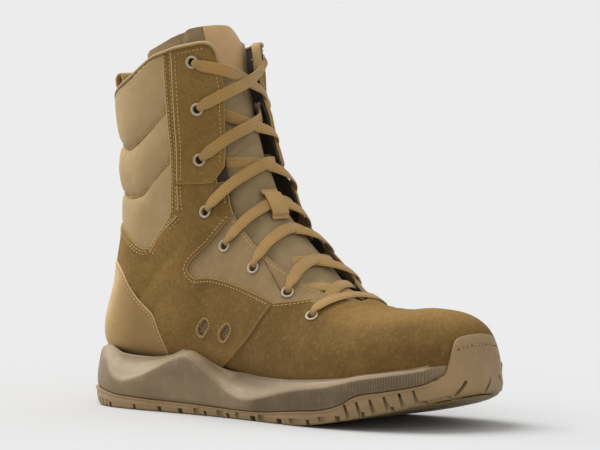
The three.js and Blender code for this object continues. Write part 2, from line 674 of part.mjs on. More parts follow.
// The half of a strand from an eyelet, on the side given by sign, up to the crossing
function halfStrand(eyelet, centre, sign, flat, tucked) {
  const station = eyelet.station + (centre - eyelet.station) * EDGE_RUN;
  const half = along(THROAT, station, 1);
  if (tucked) {
    return [[station, sign * half * TUCK_SHARE, TUCK_DEPTH * flat]];
  }
  const over = QUARTER_STEP + FACET_ROOM + laceRest;
  const base = eyelet.raised ? QUARTER_STEP : 0;
  return [
    [eyelet.station, sign * eyelet.turn, base + eyeletTop + laceRest],
    [(station + eyelet.station) / 2, (sign * (half + eyelet.turn)) / 2, over + LACE_ARCH],
    [station, sign * half * EDGE_SHARE, over],
  ];
}

// One strand from an eyelet on the side given by sign up to the opposite flap's next eyelet
function crossingStrand(row, sign, lift, startsTucked, endsTucked) {
  const middle = CROSSINGS[row];
  const flat = lift + CLEARANCE + FACET_ROOM - BALL_WIDTH * along(TONGUE, middle, 2);
  const lower = halfStrand(EYELETS[row + 1], middle, sign, flat, startsTucked);
  const upper = halfStrand(EYELETS[row], middle, -sign, flat, endsTucked);
  return strand(eased([...lower, [middle, 0, flat], ...upper.reverse()], lower.length));
}

// Adds a place before and after the middle one, on a smooth curve in station, turn and height
function eased(points, centre) {
  const knots = points.map((unused, i) => i);
  return [
    ...points.slice(0, centre),
    splineRow(knots, points, centre - 0.5),
    points[centre],
    splineRow(knots, points, centre + 0.5),
    ...points.slice(centre + 1),
  ];
}

function makeCrossing(row) {
  const lowest = row === EYELETS.length - 2;
  const top = row === 0;
  const over = crossingStrand(row, 1, strandOver, lowest, !top);
  const under = crossingStrand(row, -1, strandUnder, lowest, !top);
  return over.add(under);
}

// The lace's lowest run, from flap to flap over the end of the throat
function makeLaceBar() {
  const { station, turn } = EYELETS.at(-1);
  const over = QUARTER_STEP + FACET_ROOM / 2 + laceRest;
  const half = [
    [station, turn, eyeletTop + laceRest],
    [station - 0.02, 0.82 * turn, over + LACE_ARCH],
    [station - 0.10, 0.55 * turn, over + LACE_ARCH / 2],
    [station - 0.14, 0.23 * turn, over],
  ];
  const other = [...half].reverse().map(([at, side, out]) => [at, -side, out]);
  return strand([...half, [station - 0.15, 0, over], ...other]);
}

function makeKeeper() {
  const rest = CLEARANCE + FACET_ROOM + LOOP_THICKNESS / 2;
  const places = KEEPER.map(([station, rise]) => ({
    point: lifted(station, 0, rest + rise * KEEPER_RISE - BALL_WIDTH * along(TONGUE, station, 2)),
    face: skinNormal(station, 0),
  }));
  return solid(band(places, KEEPER_WIDTH, LOOP_THICKNESS));
}

// The loop is sewn on at this station, where the collar is as round as a share of BALL_WIDTH
const LOOP_STATION = 16.4;
const COLLAR_ROUND = 0.3;

function makePullLoop() {
  const high = heightOf(RIM[1][1]);
  const reach = LOOP_THICKNESS / 2 + CLEARANCE + FACET_ROOM;
  const back = skin(LOOP_STATION, 0.5).x;
  const outside = back - PAD_OUTSIDE - reach;
  const bulge = LOOP_WIDTH ** 2 / (8 * COLLAR_ROUND * BALL_WIDTH);
  const inside = back + WALL + PAD_INSIDE + reach + bulge;
  const mid = (outside + inside) / 2;
  const half = (inside - outside) / 2;
  const bend = high + LOOP_RISE - half;
  const path = [[outside - CLEARANCE, high - LOOP_TAIL], [outside, high - LOOP_TAIL / 3]];
  for (let k = 0; k <= 6; k += 1) {
    const angle = Math.PI - (k / 6) * Math.PI;
    path.push([mid + half * Math.cos(angle), bend + half * Math.sin(angle)]);
  }
  path.push([inside, high - LOOP_TAIL]);
  const places = path.map(([x, z], i) => {
    const [bx, bz] = path[Math.max(i - 1, 0)];
    const [ax, az] = path[Math.min(i + 1, path.length - 1)];
    return { point: new THREE.Vector3(x, 0, z), face: new THREE.Vector3(bz - az, 0, ax - bx) };
  });
  return solid(band(places, LOOP_WIDTH, LOOP_THICKNESS));
}

// Sole
const SOLE_STEPS = 30;
const outlineKnots = [0];
for (let i = 1; i < OUTLINE.length; i += 1) {
  const [a, b] = [OUTLINE[i - 1], OUTLINE[i]];
  const wide = ((b[1] + b[2] - a[1] - a[2]) / 2) * BALL_WIDTH;
  outlineKnots.push(outlineKnots[i - 1] + Math.hypot((b[0] - a[0]) * SOLE_LENGTH, wide));
}

// The floor is flat between the heel's bevel and the start of the toe spring, as shares of SOLE_LENGTH
const FLAT = { heel: 0.082, toe: 0.655 };
const TOE_POWER = 1.38;

function floorRise(x) {
  const share = (x + HEEL_OVERHANG) / SOLE_LENGTH;
  const toe = Math.max((share - FLAT.toe) / (1 - FLAT.toe), 0);
  const heel = Math.max((FLAT.heel - share) / FLAT.heel, 0);
  return TOE_SPRING * toe ** TOE_POWER + HEEL_BEVEL * heel ** 2;
}

// Height of one line of the side: 0 the floor edge, 1 the rubber's edge, 2 the ridge, 3 the top
function sideHeight(line, x) {
  const share = (x + HEEL_OVERHANG) / SOLE_LENGTH;
  const heights = [floorRise(x), ...[1, 2, 3].map((c) => SIDE_HEIGHT * along(SIDE, share, c))];
  const low = Math.min(Math.floor(line), 2);
  return heights[low] + (line - low) * (heights[low + 1] - heights[low]);
}

function soleLine(line, lift) {
  return SIDE.map(([share]) => {
    const x = share * SOLE_LENGTH - HEEL_OVERHANG;
    return [x, sideHeight(line, x) + lift];
  });
}

function outlineRing(out, height) {
  const sides = [[], []];
  for (let i = 0; i < SOLE_STEPS; i += 1) {
    const at = (i / (SOLE_STEPS - 1)) * outlineKnots.at(-1);
    const [share, outside, inside] = splineRow(outlineKnots, OUTLINE, at);
    const x = share * SOLE_LENGTH - HEEL_OVERHANG;
    sides[0].push([x, -outside * BALL_WIDTH]);
    sides[1].push([x, inside * BALL_WIDTH]);
  }
  const loop = [...sides[0], ...sides[1].reverse()];
  return loop.map(([x, y], i) => {
    const [bx, by] = loop[(i + loop.length - 1) % loop.length];
    const [ax, ay] = loop[(i + 1) % loop.length];
    const length = Math.hypot(ax - bx, ay - by);
    return new THREE.Vector3(x + (out * (ay - by)) / length, y - (out * (ax - bx)) / length, height(x));
  });
}

function soleBlock() {
  const rings = SIDE_RINGS.map(({ line, out }) => outlineRing(out, (x) => sideHeight(line, x)));
  return solid(stack(rings, true));
}

const bumperEdge = BUMPER_EDGE.map(([share, height]) => [share * SOLE_LENGTH - HEEL_OVERHANG,
  height * SIDE_HEIGHT]);

function bumperZone(gap) {
  const low = -TOE_SPRING;
  const front = bumperEdge.at(-1)[0];
  return sidePrism([...moved(bumperEdge, -gap, gap), [front, low], [bumperEdge[0][0] - gap, low]]);
}

// The rubber: all that lies under its edge on the side, but for the core that the foam fills
function rubberZone(gap) {
  const edge = [...soleLine(1, 0).filter(([x]) => x < bumperEdge[0][0]), ...bumperEdge];
  const below = sidePrism([[-LENGTH, -LENGTH], ...moved(edge, -gap, gap), [2 * LENGTH, 2 * SIDE_HEIGHT],
    [2 * LENGTH, -LENGTH]]);
  const inset = -RUBBER_WALL - gap;
  const core = stack([
    outlineRing(inset, (x) => floorRise(x) + SOLE_FLOOR + gap),
    outlineRing(inset, () => 2 * SIDE_HEIGHT),
  ], true);
  return below.subtract(solid(core).subtract(bumperZone(gap)));
}

// Room for the upper, wider behind the vamp seam where the quarter and the counter lie over it
const seam = QUARTER_EDGE.slice(-5).map(onLast);
const rearZone = sidePrism(moved([...seam, [-LENGTH, 0], [-LENGTH, seam[0][1]]], CLEARANCE, 0));
const upperRoom = form(CLEARANCE)
  .add(form(COUNTER_THICKNESS + 2 * CLEARANCE).intersect(rearZone));

function soleBody() {
  const bumper = form(BUMPER_THICKNESS).intersect(bumperZone(0));
  return soleBlock().add(bumper).subtract(upperRoom);
}

function treadCuts() {
  const below = 4 * TREAD_DEPTH;
  const cuts = TREAD.map(([share, width]) => {
    const x = share * SOLE_LENGTH - HEEL_OVERHANG;
    const geometry = new THREE.BoxGeometry(width, 2 * BALL_WIDTH, below);
    return solid(geometry.translate(x, 0, floorRise(x) + TREAD_DEPTH - below / 2));
  });
  for (const [from, to, aside] of LONG_GROOVES) {
    const ends = [from, to].map((share) => share * SOLE_LENGTH - HEEL_OVERHANG);
    const xs = [ends[0], (ends[0] + ends[1]) / 2, ends[1]];
    const roof = xs.map((x) => [x, floorRise(x) + TREAD_DEPTH]).reverse();
    const outline = [[ends[0], -below], [ends[1], -below], ...roof];
    const shape = new THREE.Shape(outline.map(([x, z]) => new THREE.Vector2(x, z)));
    const geometry = new THREE.ExtrudeGeometry(shape, { depth: LONG_GROOVE_WIDTH, bevelEnabled: false });
    const y = aside * BALL_WIDTH + LONG_GROOVE_WIDTH / 2;
    cuts.push(solid(geometry.rotateX(Math.PI / 2).translate(0, y, 0)));
  }
  const slots = SIDE_SLOTS.flatMap((share) => sideBars(share, TREAD_DEPTH + SIDE_SLOT_HEIGHT));
  return joined([...cuts, ...slots]);
}

// Outline at a share of the length, on the outer or the inner side: a point and its direction
const SLOPE_STEP = 0.004;

function outlinePlace(share, sign) {
  const shares = OUTLINE.map((row) => row[0]);
  const half = (at) => splineRow(shares, OUTLINE, at)[sign < 0 ? 1 : 2] * BALL_WIDTH;
  const rise = half(share + SLOPE_STEP) - half(share - SLOPE_STEP);
  const slope = rise / (2 * SLOPE_STEP * SOLE_LENGTH);
  return { x: share * SOLE_LENGTH - HEEL_OVERHANG, y: sign * half(share), turn: Math.atan(sign * slope) };
}

// Leaning bars that bite into both sides of the sole, as far over and under the top of the tread
function sideBars(share, high) {
  const thick = 4 * SIDE_SLOT_DEPTH;
  return [-1, 1].map((sign) => {
    const { x, y, turn } = outlinePlace(share, sign);
    const geometry = new THREE.BoxGeometry(SIDE_SLOT_WIDTH, thick, 2 * high);
    geometry.translate(0, sign * (thick / 2 - SIDE_SLOT_DEPTH), 0).rotateY(SIDE_SLOT_LEAN).rotateZ(turn);
    return solid(geometry.translate(x, y, floorRise(x) + TREAD_DEPTH));
  });
}

const body = soleBody();

function makeOutsole() {
  return body.intersect(rubberZone(0)).subtract(treadCuts());
}

function makeMidsole() {
  return body.subtract(rubberZone(CLEARANCE));
}

// Materials
const suede = new THREE.MeshStandardMaterial({ color: 0x94713f, roughness: 0.95, metalness: 0 });
const smoothLeather = new THREE.MeshStandardMaterial({ color: 0xa8824a, roughness: 0.7, metalness: 0 });
const fabric = new THREE.MeshStandardMaterial({ color: 0xa8946d, roughness: 0.9, metalness: 0 });
const laceCloth = new THREE.MeshStandardMaterial({ color: 0xb39258, roughness: 0.85, metalness: 0 });
const foam = new THREE.MeshStandardMaterial({ color: 0x93805f, roughness: 0.7, metalness: 0 });
const rubber = new THREE.MeshStandardMaterial({ color: 0xa3875a, roughness: 0.6, metalness: 0 });
const coatedMetal = new THREE.MeshStandardMaterial({ color: 0xb9a68d, roughness: 0.45, metalness: 0.3 });

const boot = new THREE.Group();

function addPiece(name, geometry, material) {
  const mesh = new THREE.Mesh(geometry, material);
  mesh.name = name;
  boot.add(mesh);
}

addPiece("upper", geometryOf(makeUpper()), suede);
addPiece("heel_counter", geometryOf(makeCounter()), smoothLeather);
addPiece("tongue", geometryOf(makeTongue()), fabric);
addPiece("insole", geometryOf(makeInsole()), fabric);
addPiece("midsole", geometryOf(makeMidsole()), foam);
addPiece("outsole", geometryOf(makeOutsole()), rubber);
addPiece("pull_loop", geometryOf(makePullLoop()), fabric);
addPiece("lace_keeper", geometryOf(makeKeeper()), smoothLeather);
addPiece("lace_bar", geometryOf(makeLaceBar()), laceCloth);
for (let row = 0; row + 1 < EYELETS.length; row += 1) {
  addPiece(`lace_crossing_${row + 1}`, geometryOf(makeCrossing(row)), laceCloth);
}
EYELETS.forEach(({ station, turn, raised }, i) => {
  ["outer", "inner"].forEach((name, k) => {
    const shape = place(eyeletShape(), station, bothSides(turn)[k], raised ? QUARTER_STEP : 0);
    addPiece(`eyelet_${name}_${i + 1}`, geometryOf(solid(shape)), coatedMetal);
  });
});

// The origin is under the middle of the boot, on the floor
const box = new THREE.Box3().setFromObject(boot);
const middle = box.getCenter(new THREE.Vector3());
boot.position.set(-middle.x, -middle.y, -box.min.z);

export default boot;
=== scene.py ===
# Work boot for the right foot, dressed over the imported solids.
# Lengths are millimetres on the last, with +X to the toe, +Y to the inner side and +Z up.
import math

import bmesh
import bpy
import numpy as np
from mathutils import Matrix, Vector
from mathutils.bvhtree import BVHTree
from mathutils.kdtree import KDTree


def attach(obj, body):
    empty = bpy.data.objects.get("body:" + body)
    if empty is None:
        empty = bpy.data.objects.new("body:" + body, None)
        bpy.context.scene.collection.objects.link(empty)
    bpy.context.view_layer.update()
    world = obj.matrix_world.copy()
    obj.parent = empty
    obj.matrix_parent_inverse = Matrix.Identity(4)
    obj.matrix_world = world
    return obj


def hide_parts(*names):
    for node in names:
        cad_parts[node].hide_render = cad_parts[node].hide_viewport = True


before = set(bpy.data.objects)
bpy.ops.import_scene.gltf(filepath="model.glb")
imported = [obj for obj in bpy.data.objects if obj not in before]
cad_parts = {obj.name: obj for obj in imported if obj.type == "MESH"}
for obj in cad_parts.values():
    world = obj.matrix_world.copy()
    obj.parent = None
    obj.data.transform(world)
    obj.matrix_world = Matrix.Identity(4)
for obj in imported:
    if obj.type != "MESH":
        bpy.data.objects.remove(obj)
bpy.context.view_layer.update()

MM = 0.001
# From the last's own origin to the middle of the part
SHIFT = np.array([-142.501, 1.8, 0.0])
# Each piece that comes in pairs: the sign of its turn, and its word
SIDES = ((1, "outer"), (-1, "inner"))

# The last and the sole, as in the part's source
LENGTH = 290.0
BALL_WIDTH = 100.0
INSTEP_HEIGHT = 127.0
SHAFT_HEIGHT = 249.0
SOLE_LENGTH = 307.0
HEEL_OVERHANG = 11.0
SIDE_HEIGHT = 40.0
TOE_SPRING = 21.0
HEEL_BEVEL = 5.0

# Sections of the last: back x and z, front x and z, half widths outside and inside, centre,
# how far up it is widest, and how round its lower and upper half are
SECTIONS = [
    [1.000, 0.340, 1.000, 0.365, 0.010, 0.010, 0.075, 0.50, 2.0, 2.0],
    [0.996, 0.265, 0.994, 0.450, 0.160, 0.160, 0.072, 0.50, 2.2, 2.0],
    [0.981, 0.225, 0.976, 0.520, 0.275, 0.275, 0.062, 0.42, 2.5, 2.1],
    [0.948, 0.200, 0.938, 0.560, 0.370, 0.350, 0.048, 0.38, 2.8, 2.3],
    [0.893, 0.175, 0.878, 0.575, 0.445, 0.415, 0.028, 0.34, 3.0, 2.4],
    [0.815, 0.155, 0.798, 0.562, 0.495, 0.460, 0.012, 0.32, 3.0, 2.3],
    [0.735, 0.140, 0.715, 0.580, 0.510, 0.475, 0.000, 0.32, 3.0, 2.2],
    [0.640, 0.135, 0.625, 0.675, 0.490, 0.455, -0.008, 0.32, 3.0, 2.1],
    [0.540, 0.145, 0.560, 0.820, 0.450, 0.415, -0.012, 0.33, 2.8, 2.1],
    [0.430, 0.160, 0.505, 0.965, 0.415, 0.385, -0.010, 0.34, 2.6, 2.1],
    [0.280, 0.185, 0.465, 1.091, 0.390, 0.365, -0.005, 0.36, 2.5, 2.1],
    [0.100, 0.215, 0.440, 1.227, 0.385, 0.365, 0.000, 0.36, 2.4, 2.1],
    [-0.006, 0.285, 0.422, 1.346, 0.380, 0.365, 0.000, 0.36, 2.4, 2.1],
    [0.014, 0.560, 0.410, 1.446, 0.370, 0.360, 0.000, 0.38, 2.3, 2.1],
    [0.030, 0.880, 0.402, 1.564, 0.370, 0.368, 0.000, 0.42, 2.2, 2.1],
    [0.032, 1.182, 0.398, 1.682, 0.385, 0.385, 0.000, 0.48, 2.2, 2.1],
    [0.026, 1.420, 0.396, 1.810, 0.400, 0.400, 0.000, 0.50, 2.2, 2.1],
    [0.018, 1.660, 0.395, 1.980, 0.410, 0.410, 0.000, 0.50, 2.2, 2.1],
    [0.014, 1.900, 0.393, 2.160, 0.415, 0.415, 0.000, 0.50, 2.2, 2.1],
]
# Eyelets of one flap from the collar down: station, turn, and whether the quarter lies under them
EYELETS = [
    (16.47, 0.165, 1), (14.95, 0.159, 1), (13.37, 0.150, 1), (11.50, 0.148, 1),
    (10.25, 0.160, 0), (9.02, 0.151, 0), (7.61, 0.126, 0), (6.63, 0.128, 0),
]
# Stations at which the lace crosses, below each pair
CROSSINGS = [15.20, 13.35, 11.50, 10.05, 9.00, 7.90, 6.95]
# The leather keeper over the lace: its station and its share of the rise over the tongue
KEEPER = [(9.40, 0.00), (9.49, 0.25), (9.61, 0.80), (9.95, 1.00), (10.27, 0.80), (10.38, 0.25), (10.50, 0.00)]
KEEPER_LOW, KEEPER_RISE, KEEPER_TURN = 1.4, 5.0, 0.011
KEEPER_WIDTH, KEEPER_THICKNESS = 13.6, 1.6
# Edge of the throat, station and turn, and the station at which it meets the collar
THROAT_HIGH = 16.70
THROAT = [
    (6.22, 0.018), (6.32, 0.034), (6.55, 0.044), (6.80, 0.051), (7.42, 0.079), (8.05, 0.098), (8.60, 0.112),
    (9.30, 0.120), (10.10, 0.121), (10.70, 0.118), (11.28, 0.110), (11.80, 0.107), (12.02, 0.119),
    (12.20, 0.118), (12.36, 0.103), (13.40, 0.099), (14.24, 0.101), (15.34, 0.102), (16.25, 0.110),
    (16.67, 0.117), (17.30, 0.124), (18.00, 0.132),
]
# Tongue: station, turns to its edge, depth of its face at the middle and at the edge
TONGUE = [
    (6.45, 0.050, 3.6, 3.4), (7.00, 0.085, 4.4, 3.4), (8.00, 0.120, 6.4, 3.4), (9.00, 0.138, 7.6, 3.4),
    (10.00, 0.148, 8.2, 3.4), (11.00, 0.150, 8.6, 3.4), (12.00, 0.150, 9.4, 3.6), (13.00, 0.150, 11.0, 4.0),
    (14.00, 0.156, 15.0, 5.2), (15.00, 0.185, 20.0, 7.2), (16.00, 0.262, 25.5, 7.6),
    (17.00, 0.285, 29.5, 7.6), (18.00, 0.290, 34.0, 9.0),
]
TONGUE_FOOT = 6.45
# How much lower and further back the tongue's top is on its inner half
TONGUE_FALL = 9.0
TONGUE_CURL = 5.0
# Creases across the tongue, station and depth, and the patch near its top, turns and lower station
TONGUE_FOLDS = [(12.55, 0.9), (15.55, 0.8)]
PATCH_SIDES = (-0.115, 0.070)
PATCH_LOW = 15.72
# How far the inner flap opens at its stations, the way it goes, how much of that sinks where it leans in,
# and the turns past its edge over which it fades
FLAP_OPEN = [
    (6.0, 0.0), (6.6, 2.0), (7.0, 3.5), (8.5, 6.0), (9.8, 7.5), (11.2, 10.0), (12.2, 7.0), (13.0, 3.5),
    (13.5, 1.0), (14.2, -1.5), (15.0, -6.5), (16.0, -10.0), (18.0, -12.5),
]
FLAP_WAY = (0.8, 0.6, 0.0)
FLAP_SINK = 0.25
FLAP_REACH = 0.085
# Lines in the side view, x and z. Each outline has only the points that its shape needs
RIM = [(-29, 199.0), (2.9, 200.0), (13.9, 202.0), (40.9, 215.0), (60.0, 228.0), (78.0, 234.0), (95.1, 237.8),
       (99.2, 236.3), (102.1, 230.7), (121.8, 229.5)]
TONGUE_RIM = [(23.2, 214.4), (45.8, 230.0), (68.2, 241.6), (84.0, 248.6), (92.0, 251.0), (99.0, 250.0),
              (121.8, 242.5)]
COUNTER_TOP = [(-10, 95.5), (5.8, 95.0), (23.2, 92.6), (30.7, 87.6), (39.4, 77.0), (49.3, 68.3), (58.3, 61.5),
               (61.5, 53.3), (65.0, 41.9), (64.4, 25.4)]
SEAM = [(162.4, 74.7), (145.9, 54.0), (125.9, 38.1), (107.0, 27.6), (95.7, 15.0)]
VAMP_TIP = [(162.4, 74.7), (176, 76.4), (187, 77.8), (196, 77.2), (201.5, 76.0)]
TRIANGLE = [(116.0, 127.0), (103.2, 110.5), (87.6, 90.4), (91.3, 87.6), (106.4, 87.6), (133.4, 83.2),
            (162.4, 74.7)]
FABRIC_LOW = [(112, 131), (96, 114), (79, 93), (86, 81), (108, 81), (135, 76.5), (163, 69), (186, 71),
              (198, 71.5)]
PAD_FRONT = [(67.0, 259.9), (70.5, 192.9), (71.3, 159.9), (70.5, 125.7)]
PAD_BASE = [(53.9, 104.4), (49.9, 104.1), (26.1, 115.3), (-29.0, 125.7)]
# The padded cloth goes on under the leather's edge
PAD_UNDER_FRONT = [(70.5, 259.9), (73.8, 192.9), (74.5, 159.9), (73.5, 125.7), (57, 101)]
PAD_UNDER_BASE = [(57, 101), (49.9, 101.0), (26.1, 112.3), (-29.0, 122.7)]
EYESTAY_STRIP = [(74.6, 234), (75.0, 229), (75.7, 193), (75.6, 160), (75.3, 146.5)]
EYESTAY_SEAM = [(75.3, 146.5), (90, 147.0), (107, 148.5)]
# How far the padding stands out and in, how far its puff reaches from a channel, and how deep a channel is
PAD_PUFF, PAD_INSIDE, PAD_REACH, CHANNEL_DEPTH = 3.3, 3.2, 6.0, 1.3
# Stations where the padding ends below, at the back and at the strip, and the strip's turn
PAD_LOW = (14.2, 12.2)
STRIP_TURN = 0.225
CHANNELS = [
    [(0.190, 15.66), (0.240, 15.40), (0.275, 15.22), (0.330, 15.18), (0.400, 15.55), (0.500, 15.82)],
    [(0.180, 14.12), (0.230, 14.05), (0.262, 13.93), (0.310, 14.12), (0.390, 14.53), (0.500, 14.80)],
]
# Vents, x, z and tilt in degrees, with their length and width
VENTS = [(102.7, 55.9, 46), (123.0, 53.8, 46)]
VENT_LENGTH, VENT_WIDTH = 12.0, 6.4
# Height of each panel's face over the last, and of the stitches over a face
VAMP_OUT, QUARTER_OUT, EYESTAY_OUT, FABRIC_OUT, COUNTER_OUT = 0.3, 1.5, 2.35, 0.0, 2.5
STITCH_OVER = 0.12
# Creases over the toe's bend: station in the middle, depth and width
VAMP_FOLDS = [(6.00, 0.55, 0.13), (5.55, 0.40, 0.12), (5.15, 0.25, 0.10)]
# Creases beside the ankle: station, turn, depth, width and reach
ANKLE_FOLDS = [(11.62, 0.27, 0.9, 0.16, 0.07), (11.05, 0.30, 0.7, 0.15, 0.06), (12.0, 0.34, 0.6, 0.14, 0.05)]
# Outline of the sole: share of its length, half widths outside and inside
OUTLINE = np.array([
    [0.000, 2.0, 2.0], [0.010, 18.0, 18.0], [0.040, 32.0, 32.0], [0.095, 41.5, 40.5], [0.170, 45.0, 43.0],
    [0.280, 45.0, 41.5], [0.420, 46.0, 40.0], [0.560, 51.0, 44.0], [0.680, 56.0, 50.5], [0.760, 56.5, 53.0],
    [0.840, 52.0, 52.0], [0.910, 42.0, 46.5], [0.960, 29.5, 37.8], [0.988, 15.0, 26.5], [1.000, 2.0, 13.0],
])
# Side of the sole: share of its length, heights of the rubber's edge, of the ridge and of the top edge
SIDE = np.array([
    [0.000, 0.300, 0.950, 1.075], [0.050, 0.290, 0.905, 1.000], [0.080, 0.270, 0.800, 0.945],
    [0.107, 0.250, 0.590, 0.900], [0.130, 0.225, 0.490, 0.880], [0.155, 0.215, 0.475, 0.868],
    [0.185, 0.205, 0.520, 0.862], [0.225, 0.190, 0.630, 0.865], [0.270, 0.180, 0.790, 0.925],
    [0.305, 0.175, 0.895, 1.030], [0.334, 0.170, 0.935, 1.035], [0.360, 0.165, 0.870, 0.950],
    [0.388, 0.160, 0.740, 0.815], [0.424, 0.155, 0.570, 0.740], [0.453, 0.150, 0.450, 0.715],
    [0.481, 0.148, 0.380, 0.700], [0.518, 0.150, 0.350, 0.690], [0.563, 0.160, 0.405, 0.688],
    [0.620, 0.200, 0.515, 0.700], [0.680, 0.245, 0.600, 0.732], [0.741, 0.290, 0.665, 0.770],
    [0.789, 0.400, 0.740, 0.810], [0.815, 0.518, 0.790, 0.850], [0.877, 0.622, 0.875, 0.922],
    [0.931, 0.710, 0.950, 0.995], [0.958, 0.780, 1.000, 1.045], [1.000, 0.900, 1.060, 1.100],
])
# Top edge of the toe bumper, and from which share of the length a groove goes round the toe, drawn as a dark
# cord of painted shadow
BUMPER_EDGE = [(0.950, 30.5), (0.964, 32.5), (0.976, 36.0), (0.981, 44.0), (0.984, 51.5), (0.988, 56.2),
               (0.994, 58.2), (1.000, 59.2)]
BUMPER_FROM = 0.9885
# The stretch of the sole that lies on the floor, and how the toe curls up from it
FLAT = (0.082, 0.655)
TOE_POWER = 1.38
# Grooves across the tread: share of the length, and width
TREAD = [(0.110, 2.4), (0.186, 2.4), (0.257, 3.2), (0.316, 4.2), (0.388, 2.4), (0.456, 2.8), (0.533, 4.8),
         (0.615, 4.8), (0.700, 2.8), (0.778, 3.6), (0.834, 3.2), (0.891, 3.0), (0.943, 3.0), (0.972, 2.4)]
TREAD_DEPTH = 3.6
# Steps in station and turn for a slope, for a normal, and how flat a place may lie to the side view
S_STEP, T_STEP = 0.01, 0.002
NORMAL_STEP = 0.02
FLAT_PLACE = 300
# The largest distance from an edge that a finish tells apart
FAR_FROM_EDGE = 20
# The scale that gives the wave texture's bands a pitch of one millimetre
BAND_SCALE = 314.16


# Curves and surfaces
def spline(knots, rows, at):
    """A smooth curve through rows of values at the knots, read at other places."""
    knots, rows, at = np.asarray(knots, float), np.asarray(rows, float), np.atleast_1d(at).astype(float)
    step = np.diff(knots)
    slope = np.diff(rows, axis=0) / step[:, None]
    before, after = step[:-1, None], step[1:, None]
    tangent = np.empty_like(rows)
    tangent[0], tangent[-1] = slope[0], slope[-1]
    tangent[1:-1] = (slope[1:] * before + slope[:-1] * after) / (after + before)
    i = np.clip(np.searchsorted(knots, at, side="right") - 1, 0, len(knots) - 2)
    h = step[i][:, None]
    t = ((at - knots[i]) / step[i])[:, None]
    return ((2 * t**3 - 3 * t**2 + 1) * rows[i] + (t**3 - 2 * t**2 + t) * h * tangent[i]
            + (3 * t**2 - 2 * t**3) * rows[i + 1] + (t**3 - t**2) * h * tangent[i + 1])


def arc_length(points):
    """How far along a line each of its points lies."""
    return np.r_[0, np.cumsum(np.linalg.norm(np.diff(points, axis=0), axis=1))]


def unit(vectors):
    return vectors / np.maximum(np.linalg.norm(vectors, axis=-1, keepdims=True), 1e-9)


def from_table(table, at):
    """The second column of a table, read at values of its first."""
    return np.interp(at, *np.transpose(table))


def evened(row, reach, mode="edge"):
    """A running mean over some neighbours on each side."""
    count = 2 * reach + 1
    return np.convolve(np.pad(row, reach, mode=mode), np.ones(count) / count, mode="valid")


def flipped(line, about):
    """A line of stations and turns on the other side. about is 0 over the toe and 0.5 behind the heel."""
    return np.stack([line[:, 0], 2 * about - line[:, 1]], 1)


def tree_of(points):
    tree = KDTree(len(points))
    for number, point in enumerate(points):
        tree.insert(point, number)
    tree.balance()
    return tree


def smooth(low, high, value):
    t = np.clip((np.asarray(value, float) - low) / (high - low), 0, 1)
    return t * t * (3 - 2 * t)


def last_rows():
    """The sections in millimetres. Heights up to 1 are shares of the instep, and beyond it of the shaft."""
    rows = np.array(SECTIONS, float)
    for column in (1, 3):
        share = rows[:, column].copy()
        over = INSTEP_HEIGHT + (share - 1) * (SHAFT_HEIGHT - INSTEP_HEIGHT)
        rows[:, column] = np.where(share <= 1, share * INSTEP_HEIGHT, over)
    rows[:, [0, 2]] *= LENGTH
    rows[:, 4:7] *= BALL_WIDTH
    return rows


ROWS = last_rows()
KNOTS = arc_length(ROWS[:, :6])
TOP = len(ROWS) - 1


def last(station, turn):
    """Places on the last. A turn goes from 0 in front by the outer side to 1, and 0.5 is behind or below."""
    station, turn = np.broadcast_arrays(np.asarray(station, float), np.asarray(turn, float))
    s = spline(KNOTS, ROWS, np.interp(station.ravel(), np.arange(TOP + 1), KNOTS))
    angle = 2 * np.pi * turn.ravel()
    power = np.where(np.cos(angle) > 0, s[:, 9], s[:, 8])
    up = np.sign(np.cos(angle)) * np.abs(np.cos(angle)) ** (2 / power)
    side = np.sign(np.sin(angle)) * np.abs(np.sin(angle)) ** (2 / power)
    share = np.where(up > 0, s[:, 7] + (1 - s[:, 7]) * up, s[:, 7] + s[:, 7] * up)
    half = np.where(side > 0, s[:, 4], s[:, 5])
    return np.stack([s[:, 0] + (s[:, 2] - s[:, 0]) * share, s[:, 6] - side * half,
                     s[:, 1] + (s[:, 3] - s[:, 1]) * share], 1)


def throat_turn(station):
    return from_table([row[:2] for row in THROAT], station)


def skin(station, turn):
    """The last, with the inner flap opened a little by the lace and leaning in at its top."""
    station, turn = np.broadcast_arrays(np.asarray(station, float), np.asarray(turn, float))
    station, turn = station.ravel(), turn.ravel()
    side = np.where(turn > 0.5, 1 - turn, -turn)
    edge = throat_turn(station)
    share = smooth(0.02, 1.0, side / edge) * smooth(edge + FLAP_REACH, edge, side)
    amount = from_table(FLAP_OPEN, station) * share
    sink = np.minimum(amount, 0)[:, None] * np.array([0, 0, FLAP_SINK])
    return last(station, turn) + amount[:, None] * np.array(FLAP_WAY) + sink


def skin_normal(station, turn, form=skin):
    station, turn = np.broadcast_arrays(np.asarray(station, float), np.asarray(turn, float))
    low, high = np.maximum(station - NORMAL_STEP, 0), np.minimum(station + NORMAL_STEP, TOP)
    across = form(station, turn + NORMAL_STEP / 4) - form(station, turn - NORMAL_STEP / 4)
    return unit(np.cross(form(high, turn) - form(low, turn), across))


def lifted(station, turn, out):
    return skin(station, turn) + skin_normal(station, turn) * np.reshape(out, (-1, 1))


def moved(line, vectors):
    """The line of stations and turns moved over the last by vectors in space."""
    s, t = line.T
    here = skin(s, t)
    js, jt = (skin(s + S_STEP, t) - here) / S_STEP, (skin(s, t + T_STEP) - here) / T_STEP
    a, b, c = (js * js).sum(1), (js * jt).sum(1), (jt * jt).sum(1)
    d, e = (js * vectors).sum(1), (jt * vectors).sum(1)
    det = a * c - b * b
    return np.stack([s + (d * c - e * b) / det, t + (a * e - b * d) / det], 1)


def beside(line, distance):
    """The line moved sideways over the last. Down the outer side, a positive distance is to the front."""
    s, t = line.T
    run = unit(np.gradient(skin(s, t), axis=0))
    return moved(line, np.cross(skin_normal(s, t), run) * distance)


